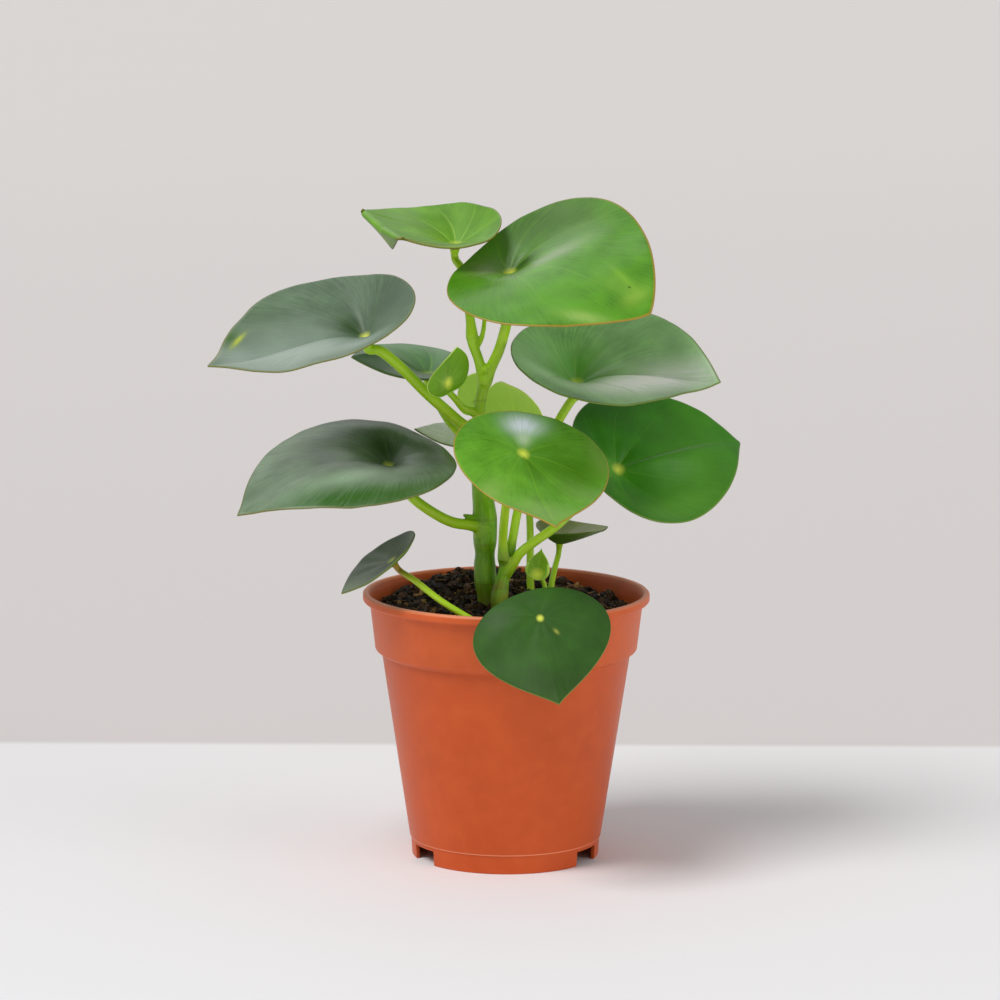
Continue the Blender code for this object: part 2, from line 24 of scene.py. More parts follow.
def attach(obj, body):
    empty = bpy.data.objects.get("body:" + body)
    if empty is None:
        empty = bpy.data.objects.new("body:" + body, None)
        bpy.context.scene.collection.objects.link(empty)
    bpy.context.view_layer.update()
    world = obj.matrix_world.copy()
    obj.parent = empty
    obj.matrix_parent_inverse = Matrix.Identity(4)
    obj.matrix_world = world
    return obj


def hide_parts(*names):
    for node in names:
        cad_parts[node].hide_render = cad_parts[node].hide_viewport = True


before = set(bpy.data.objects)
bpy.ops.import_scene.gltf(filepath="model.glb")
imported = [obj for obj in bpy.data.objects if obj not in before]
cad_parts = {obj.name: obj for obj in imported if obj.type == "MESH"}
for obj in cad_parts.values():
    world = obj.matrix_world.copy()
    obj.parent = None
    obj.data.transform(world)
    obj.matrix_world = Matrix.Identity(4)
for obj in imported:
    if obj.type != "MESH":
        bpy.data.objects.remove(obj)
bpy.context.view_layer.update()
MM = 0.001
scene = bpy.context.scene


def in_mm(sides):
    return [round(side / MM, 1) for side in sides]


# %% [markdown]
# Every piece below is made in the same three steps: points and faces, a mesh that holds them,
# and an object that shows the mesh. Small functions save writing the steps out each time. The
# leaves and the soil are both rings of points between a middle above and a middle below, so one
# function writes the faces of either.

# %% Meshes and objects
def mesh_of(name, points, faces):
    """A mesh from points in millimetres."""
    mesh = bpy.data.meshes.new(name)
    mesh.from_pydata(np.asarray(points) * MM, [], faces)
    return mesh


def mesh_from(name, shape):
    """A mesh from a bmesh, which is given back to Blender."""
    mesh = bpy.data.meshes.new(name)
    shape.to_mesh(mesh)
    shape.free()
    return mesh


def add_object(name, data):
    made = bpy.data.objects.new(name, data)
    scene.collection.objects.link(made)
    return made


def disc_faces(rows, steps):
    """Faces of a closed body of rings, from its first point out, round the rim and back."""
    pairs = [(i, (i + 1) % steps) for i in range(steps)]
    faces = [(0, 1 + a, 1 + b) for a, b in pairs]
    for row in range(rows - 1):
        inner = 1 + row * steps
        outer = inner + steps
        faces += [(inner + a, outer + a, outer + b, inner + b) for a, b in pairs]
    ring, last = 1 + (rows - 1) * steps, 1 + rows * steps
    return faces + [(last, ring + b, ring + a) for a, b in pairs]


def set_attribute(mesh, name, kind, values):
    """Stores one value for each vertex, for the finish to read."""
    layer = mesh.attributes.new(name, kind, "POINT")
    key = "vector" if kind == "FLOAT_VECTOR" else "value"
    layer.data.foreach_set(key, np.asarray(values, np.float32).ravel())


print("mesh tools ready")

# %% [markdown]
# ## Where the camera stands
#
# A product photograph of a small pot is taken with a long lens from over a metre away, a little
# above the rim. The pot itself tells where: its rim and its foot are circles, and how flat their
# ellipses look fixes the height and the tilt. A long lens keeps the pot's sides from leaning.

# %% Camera: metres, millimetres of lens and sensor, radians
CAMERA_PLACE = (-0.0028, -1.729, 0.4355)
CAMERA_LENS = 151.2
CAMERA_SENSOR = 36
CAMERA_TILT = 0.1633
CAMERA_ROLL = 0.004
CAMERA_SIGHT = 20

lens = bpy.data.cameras.new("camera")
lens.sensor_width = CAMERA_SENSOR
lens.lens = CAMERA_LENS
lens.clip_end = CAMERA_SIGHT
camera = add_object("camera", lens)
camera.matrix_world = (Matrix.Translation(CAMERA_PLACE)
                       @ Matrix.Rotation(math.pi / 2 - CAMERA_TILT, 4, "X")
                       @ Matrix.Rotation(CAMERA_ROLL, 4, "Z"))
scene.camera = camera
scene.view_settings.view_transform = "Standard"
print("camera:", CAMERA_LENS, "mm lens,", round(Vector(CAMERA_PLACE).length, 2), "m away")

# %% [markdown]
# ## Formulas that become shader nodes
#
# Every finish here is a formula: how green, how rough, how raised the surface is at each point.
# Blender stores such a formula as a net of nodes, which is slow to write out by hand. The small
# class `Value` wraps one output socket, and each operator on it adds the Math node it stands
# for, so `1 - mask` or `a * b + c` reads as it would on paper. `Finish` holds a material and
# adds any other node in one call.

# %% A socket that can be used in a formula
class Value:
    def __init__(self, finish, socket):
        self.finish = finish
        self.socket = socket

    def __add__(self, other):
        return self.finish.math("ADD", self, other)

    def __sub__(self, other):
        return self.finish.math("SUBTRACT", self, other)

    def __rsub__(self, other):
        return self.finish.math("SUBTRACT", other, self)

    def __mul__(self, other):
        return self.finish.math("MULTIPLY", self, other)

    def __truediv__(self, other):
        return self.finish.math("DIVIDE", self, other)

    __radd__ = __add__
    __rmul__ = __mul__


print("operators:", Value.__add__.__name__, Value.__mul__.__name__, "and others")


# %% A material whose nodes are added one call at a time
class Finish:
    def __init__(self, name, **constants):
        self.material = bpy.data.materials.new(name)
        self.material.use_nodes = True
        self.tree = self.material.node_tree
        self.shader = self.tree.nodes["Principled BSDF"]
        for socket, value in constants.items():
            self.feed(self.shader.inputs[socket.replace("_", " ")], value)

    def feed(self, socket, value):
        if isinstance(value, Value):
            self.tree.links.new(value.socket, socket)
        else:
            socket.default_value = value

    def node(self, kind, settings, sockets, output=0):
        """Adds a node: its settings first, then its sockets by name or number."""
        made = self.tree.nodes.new(kind)
        for setting, value in settings.items():
            setattr(made, setting, value)
        for socket, value in sockets.items():
            self.feed(made.inputs[socket], value)
        return Value(self, made.outputs[output])

    def math(self, operation, *values):
        return self.node("ShaderNodeMath", {"operation": operation}, dict(enumerate(values)))

    def clamp(self, value):
        return self.node("ShaderNodeClamp", {}, {"Value": value})

    def step(self, value, low, high):
        """0 below low, 1 above high, and an even slope between them."""
        return self.clamp((value - low) / (high - low))

    def mix(self, factor, first, second):
        """From the first colour to the second."""
        settings = {"data_type": "RGBA", "clamp_factor": True}
        return self.node("ShaderNodeMix", settings, {0: factor, 6: first, 7: second}, 2)

    def noise(self, place, scale, detail=2.0, roughness=0.5):
        sockets = {"Vector": place, "Scale": scale, "Detail": detail, "Roughness": roughness}
        return self.node("ShaderNodeTexNoise", {}, sockets)

    def vector(self, x, y, z):
        return self.node("ShaderNodeCombineXYZ", {}, {"X": x, "Y": y, "Z": z})

    def split(self, vector):
        parts = self.node("ShaderNodeSeparateXYZ", {}, {0: vector}).socket.node.outputs
        return [Value(self, part) for part in parts]

    def attribute(self, name, output="Vector"):
        settings = {"attribute_name": name}
        return self.node("ShaderNodeAttribute", settings, {}, output)

    def place(self):
        """The point's place in metres in the frame."""
        return self.node("ShaderNodeTexCoord", {}, {}, "Object")

    def bump(self, height, distance, strength=1.0):
        sockets = {"Height": height, "Distance": distance, "Strength": strength}
        self.feed(self.shader.inputs["Normal"], self.node("ShaderNodeBump", {}, sockets))

    def use(self, **sockets):
        for socket, value in sockets.items():
            self.feed(self.shader.inputs[socket.replace("_", " ")], value)


def colour(red, green, blue):
    """A colour as seen on a screen, 0 to 255, as the light that a shader works with."""
    channels = [channel / 255 for channel in (red, green, blue)]
    light = [c / 12.92 if c <= 0.04045 else ((c + 0.055) / 1.055) ** 2.4 for c in channels]
    return (*light, 1.0)


print("formula tools ready")

# %% [markdown]
# ## The leaves' shapes
#
# The frame's blades are coarse. A fine blade follows the same rule with more points, so it needs
# the same few numbers: where the stalk meets it (the eye), which way its tip points, how long
# and wide it is, and how it is bent. They are repeated here, as this script doesn't read the
# part's source. Reading the outline off the coarse mesh would give its corners back as well.

# %% The leaf table, in millimetres and degrees
LEAVES = {
    "top_left": dict(
        eye=(-22, 8, 256), heading=205, pitch=-6.5, roll=-10.5, length=70.5, width=58,
        base=0.24, fullness=0.85, funnel=12, rim=5.5, sides=-6, droop=-6, lift=1, twist=-1.5,
        pinch=2, point=1, skew=-2, curl=109, curl_from=0.57),
    "top_right": dict(
        eye=(1, -12, 247), heading=-37, pitch=-12.5, roll=26.5, length=91, width=91.5,
        base=0.18, fullness=0.66, funnel=15, rim=-5, sides=4.5, droop=2.5, lift=1, twist=1.5,
        pinch=5.5, point=0, skew=-2),
    "left_upper": dict(
        eye=(-58.5, -14, 220.5), heading=208, pitch=-20.5, roll=-8.5, length=87.5, width=78,
        base=0.25, fullness=0.69, funnel=11.5, rim=3.5, sides=2, droop=-3, lift=5.5,
        twist=-7, pinch=-3.5, point=4.5, skew=0),
    "left_lower": dict(
        eye=(-49, -14, 166.5), heading=208.5, pitch=-12, roll=-13, length=93.5, width=83,
        base=0.27, fullness=0.72, funnel=13, rim=-5.5, sides=-0.5, droop=7.5, lift=-2.5,
        twist=-1.5, pinch=9.5, point=2.5, skew=0),
    "right_upper": dict(
        eye=(29, 0, 199.5), heading=-16, pitch=-9.5, roll=19, length=87, width=79.5,
        base=0.31, fullness=0.94, funnel=13, rim=3.5, sides=2, droop=2, lift=3, twist=12.5,
        pinch=8.5, point=0.5, skew=1),
    "right_lower": dict(
        eye=(46.5, 8, 162.5), heading=34.5, pitch=6, roll=43, length=82, width=69, base=0.23,
        fullness=0.59, funnel=5, rim=0, sides=-0.5, droop=4.5, lift=2, twist=3, pinch=6,
        point=2, skew=-0.5),
    "centre": dict(
        eye=(6.5, -32, 175), heading=-76, pitch=-41.5, roll=-11, length=65.5, width=68,
        base=0.26, fullness=0.78, funnel=6, rim=3.5, sides=-3.5, droop=-6, lift=-0.5,
        twist=3.5, point=2.5, skew=-1.5),
    "hanging_front": dict(
        eye=(13.5, -70, 114), heading=-65, pitch=-54, roll=15, length=51, width=58,
        base=0.27, fullness=0.89, funnel=1.5, rim=-2.5, sides=-6, droop=-1.5, lift=0,
        twist=1, point=1, skew=-2),
    "small_left": dict(
        eye=(-47, -34, 131), heading=214, pitch=-35, roll=11.5, length=39.5, width=33,
        base=0.34, fullness=0.93, funnel=2, rim=1, sides=2, droop=-2, lift=2.5, twist=-2.5,
        point=0, skew=-0.5),
    "back_left": dict(
        eye=(-33.5, 28, 198), heading=194, pitch=2.5, roll=-11, length=48, width=45,
        base=0.29, fullness=0.79, funnel=7, rim=2.5, sides=-0.5, droop=-0.5, lift=2.5,
        twist=-3.5, point=0, skew=0.5),
    "young_cupped": dict(
        eye=(-24.5, -12, 201.5), heading=88, pitch=100, roll=56.5, length=20, width=27.5,
        base=0.22, fullness=0.96, funnel=4, rim=2, sides=-3.5, droop=1, lift=-1, twist=-1.5,
        point=0, skew=-2),
    "behind_stem": dict(
        eye=(-13.5, 26, 189.5), heading=-92, pitch=44, roll=22, length=32, width=15, base=0.29,
        fullness=0.89, funnel=2, rim=1, sides=-1, droop=5.5, lift=-2.5, twist=-2.5, point=0.5,
        skew=1),
    "behind_centre": dict(
        eye=(3.5, 26, 180.5), heading=-100, pitch=57, roll=-4, length=44, width=27.5, base=0.29,
        fullness=0.95, funnel=1.5, rim=-2.5, sides=-0.5, droop=10.5, lift=-3, twist=-3,
        point=1.5, skew=-0.5),
    "small_right": dict(
        eye=(22.5, 22, 129.5), heading=32, pitch=-3.5, roll=3, length=32.5, width=30.5,
        base=0.26, fullness=0.95, funnel=5.5, rim=2.5, sides=1, droop=1, lift=0, twist=0,
        point=0, skew=0),
    "back_middle": dict(
        eye=(-19.5, 24, 173), heading=213, pitch=-7, roll=-10, length=32.5, width=29, base=0.31,
        fullness=0.97, funnel=3.5, rim=1.5, sides=-1, droop=-5, lift=1.5, twist=-3, point=0.5,
        skew=0),
    "young_top": dict(
        eye=(-10.5, 10, 235), heading=60, pitch=40, roll=10, length=20, width=16, base=0.28,
        fullness=0.95, funnel=2, rim=1, sides=3, droop=0, lift=0, twist=0, point=1, skew=0),
    "sprout": dict(
        eye=(13, 3, 118.5), heading=60, pitch=72, roll=20, length=13, width=10, base=0.2,
        fullness=0.95, funnel=1, rim=0, sides=2.5, droop=0, lift=0, twist=0, point=1, skew=0),
}
print("leaves:", len(LEAVES))

# %% [markdown]
# A blade starts as a flat disc of rings round the eye. Each point knows its share of the way
# to the margin, so one formula can lift it: a hollow at the eye, sides that rise, a tip that
# droops. Bending a flat leaf with modifiers would be quicker to set up, but a formula gives the
# hollow its true place, and it also tells the finish where the eye and the margin are.

# %% Margin, rise and bend of a blade, in millimetres, radians and shares of its length
EYE_FLAT = 1.5
FUNNEL_REACH = 14.0
CURL_RADIUS = 3.0
FOLD_ROUND = 4.0
POINT_SPREAD = 0.3
DROOP_START = 0.3
PINCH_START = 0.5


def margin(leaf, angle):
    """The margin of the flat blade; the angle is 0 at the tip."""
    length, power = leaf["length"], leaf["fullness"]
    # sin(a) * sin(a / 2) ** power gives the drop its form. This is the most that it reaches.
    widest = 2 * ((power + 1) / (power + 2)) ** ((power + 1) / 2) / math.sqrt(power + 2)
    from_tip = np.minimum(angle, math.tau - angle)
    along = length * (0.5 * np.cos(angle) + 0.5 - leaf["base"])
    along = along + leaf["point"] * np.exp(-(from_tip / POINT_SPREAD) ** 2)
    across = np.sin(angle) * np.abs(np.sin(angle / 2)) ** power * leaf["width"] / 2 / widest
    return along, across + leaf["skew"] * np.cos(angle)


def rise(leaf, along, across, share):
    """How far the upper face stands above the plane through the eye."""
    tip_length = leaf["length"] * (1 - leaf["base"])
    base_length = leaf["length"] * leaf["base"]
    half_width = leaf["width"] / 2
    spread = np.sqrt(along ** 2 + across ** 2 + EYE_FLAT ** 2) - EYE_FLAT
    height = leaf["funnel"] * (1 - np.exp(-spread / FUNNEL_REACH))
    height = height + leaf["rim"] * share ** 2 + leaf["sides"] * (across / half_width) ** 2
    drooping = np.maximum(0, along / tip_length - DROOP_START) / (1 - DROOP_START)
    height = height - leaf["droop"] * drooping ** 2
    height = height + leaf["lift"] * np.maximum(0, -along / base_length) ** 2
    height = height + leaf["twist"] * along * across / (tip_length * half_width)
    toward_tip = np.maximum(0, along / tip_length - PINCH_START) / (1 - PINCH_START)
    folded = np.sqrt(across ** 2 + FOLD_ROUND ** 2) - FOLD_ROUND
    return height + leaf.get("pinch", 0) * folded / half_width * toward_tip


def bend_start(leaf):
    return leaf["curl_from"] * leaf["length"] * (1 - leaf["base"])


def ring_shares(leaf, share, edge_along):
    """Moves the rings of a curled blade so that one of them lies where the bend starts."""
    if "curl" not in leaf:
        return share
    start, normal = bend_start(leaf), leaf["curl_from"]
    reaches_bend = edge_along > 1.03 * start
    bend = start / np.where(reaches_bend, edge_along, start)
    moved = np.where(share <= normal, share * bend / normal,
                     1 - (1 - share) * (1 - bend) / (1 - normal))
    return np.where(reaches_bend, moved, share)


def bend_tip(leaf, along, height):
    """Turns the end of the blade down round a small bend and straight on."""
    if "curl" not in leaf:
        return along, height
    angle = math.radians(leaf["curl"])
    past = np.maximum(0, along - bend_start(leaf))
    turned = np.minimum(past / CURL_RADIUS, angle)
    straight = np.maximum(0, past - CURL_RADIUS * angle)
    bent_along = bend_start(leaf) + CURL_RADIUS * np.sin(turned) + straight * math.cos(angle)
    bent_height = height - CURL_RADIUS * (1 - np.cos(turned)) - straight * math.sin(angle)
    return np.where(past > 0, bent_along, along), np.where(past > 0, bent_height, height)


print("tips:", {name: round(float(margin(leaf, 0.0)[0])) for name, leaf in LEAVES.items()})

# %% [markdown]
# Between the eye and the margin the face swells and sinks in its own way on each leaf, and that
# is what a broad reflection shows best. A few soft ridges and valleys run out from the eye. Each
# row is one of them: its heading, in degrees round from the tip, how wide it is to each side, in
# degrees, and how many millimetres it rises or, with a minus, sinks half way to the margin.

# %% Ridges and valleys of the larger leaves
SWELLS = {
    "top_right": [(135, 36, -3.4), (205, 40, -1.8)],
    "left_lower": [(80, 40, 1.4), (135, 25, -1.6), (225, 30, 1.8)],
    "left_upper": [(-24, 43, -3.6), (130, 35, -1.2), (180, 25, 1.0), (300, 35, -0.7)],
    "right_upper": [(24, 43, -3.6)],
    "right_lower": [(45, 70, 1.0), (225, 35, -3.2), (315, 35, 2.0)],
    "centre": [(0, 50, -1.0), (90, 40, -3.6), (200, 60, -0.8)],
    "hanging_front": [(225, 30, 1.5)],
    "top_left": [(120, 45, -1.2), (225, 30, -0.7)],
    "back_left": [(-20, 115, 4.8)],
}


def swell(leaf, turn, share):
    """The height of all ridges and valleys, flat at the eye and at the margin."""
    height = np.zeros(share.shape)
    for heading, width, top in leaf.get("swells", ()):
        nearness = np.cos(turn - math.radians(heading)) - 1
        height = height + top * np.exp(2 * nearness / math.radians(width) ** 2)
    return height * 4 * share * (1 - share)


for name, rows in SWELLS.items():
    LEAVES[name]["swells"] = rows
print("swellings:", sum(map(len, SWELLS.values())), "on", len(SWELLS), "leaves")

# %% [markdown]
# Real blades are never as smooth as a formula. Soft dents and a faint pleat along each vein
# break the gloss into streaks. These are real relief, a few tenths of a millimetre, because a
# bump in the material doesn't bend the outline or a broad reflection.

# %% Dents and pleats
VEINS = 9
VEIN_SWEEP = 0.45
PLEAT_DEPTH = 0.16
PLEAT_START = 9.0
PLEAT_FADE = 26.0
DENT_SIZE = 19.0
DENT_DEPTH = 0.75
DENTS = [(1.0, DENT_SIZE, 0), (0.4, DENT_SIZE / 2.3, 9)]
FULL_RELIEF_LENGTH = 60.0


def relief(leaf, along, across, share, seed):
    """Small ups and downs of the blade, in millimetres."""
    turn = np.arctan2(across, along)
    radius = np.hypot(along, across)
    pleats = np.cos(VEINS * (turn + VEIN_SWEEP * share * np.sin(turn)))
    pleats = -PLEAT_DEPTH * pleats * np.minimum(1, radius / PLEAT_START)
    pleats = pleats * np.exp(-radius / PLEAT_FADE)
    dents = np.array([
        sum(part * noise.noise(Vector((x / size, y / size, seed + layer)))
            for part, size, layer in DENTS)
        for x, y in zip(along.ravel(), across.ravel())]).reshape(along.shape)
    return min(1, leaf["length"] / FULL_RELIEF_LENGTH) * (pleats + DENT_DEPTH * dents * share)


print("relief:", DENT_DEPTH, "mm dents and", VEINS, "pleats")

# %% [markdown]
# The blade is closed: an upper face, a lower face about a millimetre below it, a round margin
# between them. It is thickest at the eye and thins outwards. The lower face is the upper one
# moved along its own normal, so that the thickness is true on the steep sides of the hollow.

# %% Build one blade
LARGE_GRID = (132, 30)
SMALL_GRID = (84, 18)
SMALL_LEAF = 50.0
EYE_THICKNESS = 1.35
MARGIN_THICKNESS = 0.7


def blade_points(leaf, seed):
    """Upper points, lower points and margin points, with each one's place on the flat leaf."""
    steps, rings = SMALL_GRID if leaf["length"] < SMALL_LEAF else LARGE_GRID
    turn = np.arange(steps) * math.tau / steps
    edge_along, edge_across = margin(leaf, turn - 0.5 * np.sin(turn))
    share = (np.arange(1, rings + 1) / rings)[:, None] * np.ones(steps)
    share = ring_shares(leaf, share, edge_along)
    share[-1] = 1 - MARGIN_THICKNESS / 2 / np.hypot(edge_along, edge_across)
    along, across = edge_along * share, edge_across * share
    height = rise(leaf, along, across, share) + swell(leaf, turn[None], share)
    height = height + relief(leaf, along, across, share, seed)
    bent, height = bend_tip(leaf, along, height)
    upper = np.stack([bent, across, height], -1)
    outward = np.gradient(upper, axis=0)
    around = np.roll(upper, -1, 1) - np.roll(upper, 1, 1)
    normal = np.cross(outward, around)
    normal /= np.linalg.norm(normal, axis=-1, keepdims=True)
    thickness = EYE_THICKNESS + (MARGIN_THICKNESS - EYE_THICKNESS) * share ** 2
    lower = upper - normal * thickness[..., None]
    outward /= np.linalg.norm(outward, axis=-1, keepdims=True)
    edge = (upper[-1] + lower[-1]) / 2 + outward[-1] * MARGIN_THICKNESS / 2
    return upper, lower, edge, np.stack([along, across, share], -1)


def blade_frame(leaf):
    """Turns the flat leaf's own directions to the plant's and puts its eye in place."""
    turn = (Matrix.Rotation(math.radians(leaf["heading"]), 4, "Z")
            @ Matrix.Rotation(math.radians(-leaf["pitch"]), 4, "Y")
            @ Matrix.Rotation(math.radians(leaf["roll"]), 4, "X"))
    return Matrix.Translation(Vector(leaf["eye"]) * MM) @ turn


def closed(upper_eye, upper, edge, lower, lower_eye):
    """Everything in the faces' order: out over the upper face and back under the lower one."""
    rows = [upper_eye], upper.reshape(-1, 3), edge, lower[::-1].reshape(-1, 3), [lower_eye]
    return np.concatenate(rows)


def make_blade(name, leaf, seed):
    upper, lower, edge, place = blade_points(leaf, seed)
    rings, steps = upper.shape[:2]
    eye = (0, 0, 0)
    points = closed(eye, upper, edge, lower, (0, 0, -EYE_THICKNESS))
    mesh = mesh_of(name, points, disc_faces(2 * rings + 1, steps))
    edge_place = place[-1] * (1, 1, 0) + (0, 0, 1)
    set_attribute(mesh, "place", "FLOAT_VECTOR", closed(eye, place, edge_place, place, eye))
    side = [1] * (1 + rings * steps) + [0] * (steps + rings * steps + 1)
    set_attribute(mesh, "upper", "FLOAT", side)
    mesh.transform(blade_frame(leaf))
    mesh.shade_smooth()
    return add_object(name, mesh)


blades = {}
for seed, (name, leaf) in enumerate(LEAVES.items()):
    blades[name] = make_blade("leaf_" + name, leaf, seed * 7.3)
    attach(blades[name], "root")
    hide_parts("blade_" + name)
print("blades:", len(blades), "with", sum(len(b.data.polygons) for b in blades.values()), "faces")

# %% [markdown]
# ## The leaves' finish
#
# A peperomia's leaf is waxy: green and quite dark inside, with a clear skin that mirrors the
# room when seen at a low angle. The Principled shader gives that for free, if the roughness is
# right. A young leaf is thin, and light from behind makes it glow a little, which a weak light
# of its own and a paler underside stand for, as painted light. On top come the marks of the
# leaf: a yellow spot over the stalk, painted lighter than its own yellow as painted light in
# the shaded hollow at the eye, pale veins that fan out and sweep towards the tip, fine streaks
# along them, and a thin pale or reddish margin. All are worked out from the place on the flat
# leaf, so they bend with it.

# %% Kinds of leaf
KINDS = {
    "dark": dict(rib=(96, 140, 56), rim=(120, 118, 60), under=(92, 128, 42), roughness=0.34,
                 veins=0.2, streaks=1.3, eye=2.8),
    "grey_green": dict(rib=(132, 176, 88), rim=(120, 130, 60), under=(108, 146, 38),
                       roughness=0.34, veins=0.8, streaks=1.1),
    "deep_green": dict(rib=(110, 160, 50), rim=(130, 150, 70), under=(100, 140, 40),
                       roughness=0.34, veins=0.4, streaks=0.5),
    "matte_green": dict(rib=(80, 130, 50), rim=(120, 140, 70), under=(100, 140, 40),
                        roughness=0.55, veins=0.15, streaks=0.5, eye=1.9),
    "bright": dict(rib=(150, 196, 60), rim=(176, 130, 50), under=(140, 170, 40), roughness=0.3,
                   veins=0.3, streaks=0.7),
    "fresh": dict(rib=(170, 206, 90), rim=(120, 106, 40), under=(128, 128, 30), roughness=0.36,
                  veins=0.7, streaks=0.6),
    # Young leaves: the pale underside and the glow are painted light shining through the thin
    # blade.
    "young": dict(rib=(190, 230, 90), rim=(200, 216, 110), under=(162, 202, 80), roughness=0.32,
                  veins=0.3, streaks=0.5, glow=0.22),
}
# The eye's yellow is painted lighter than the spot's own, as painted light in the shaded hollow.
EYE_COLOUR = (228, 238, 90)
EYE_RADIUS = 3.4
VEIN_WIDTH = 0.55
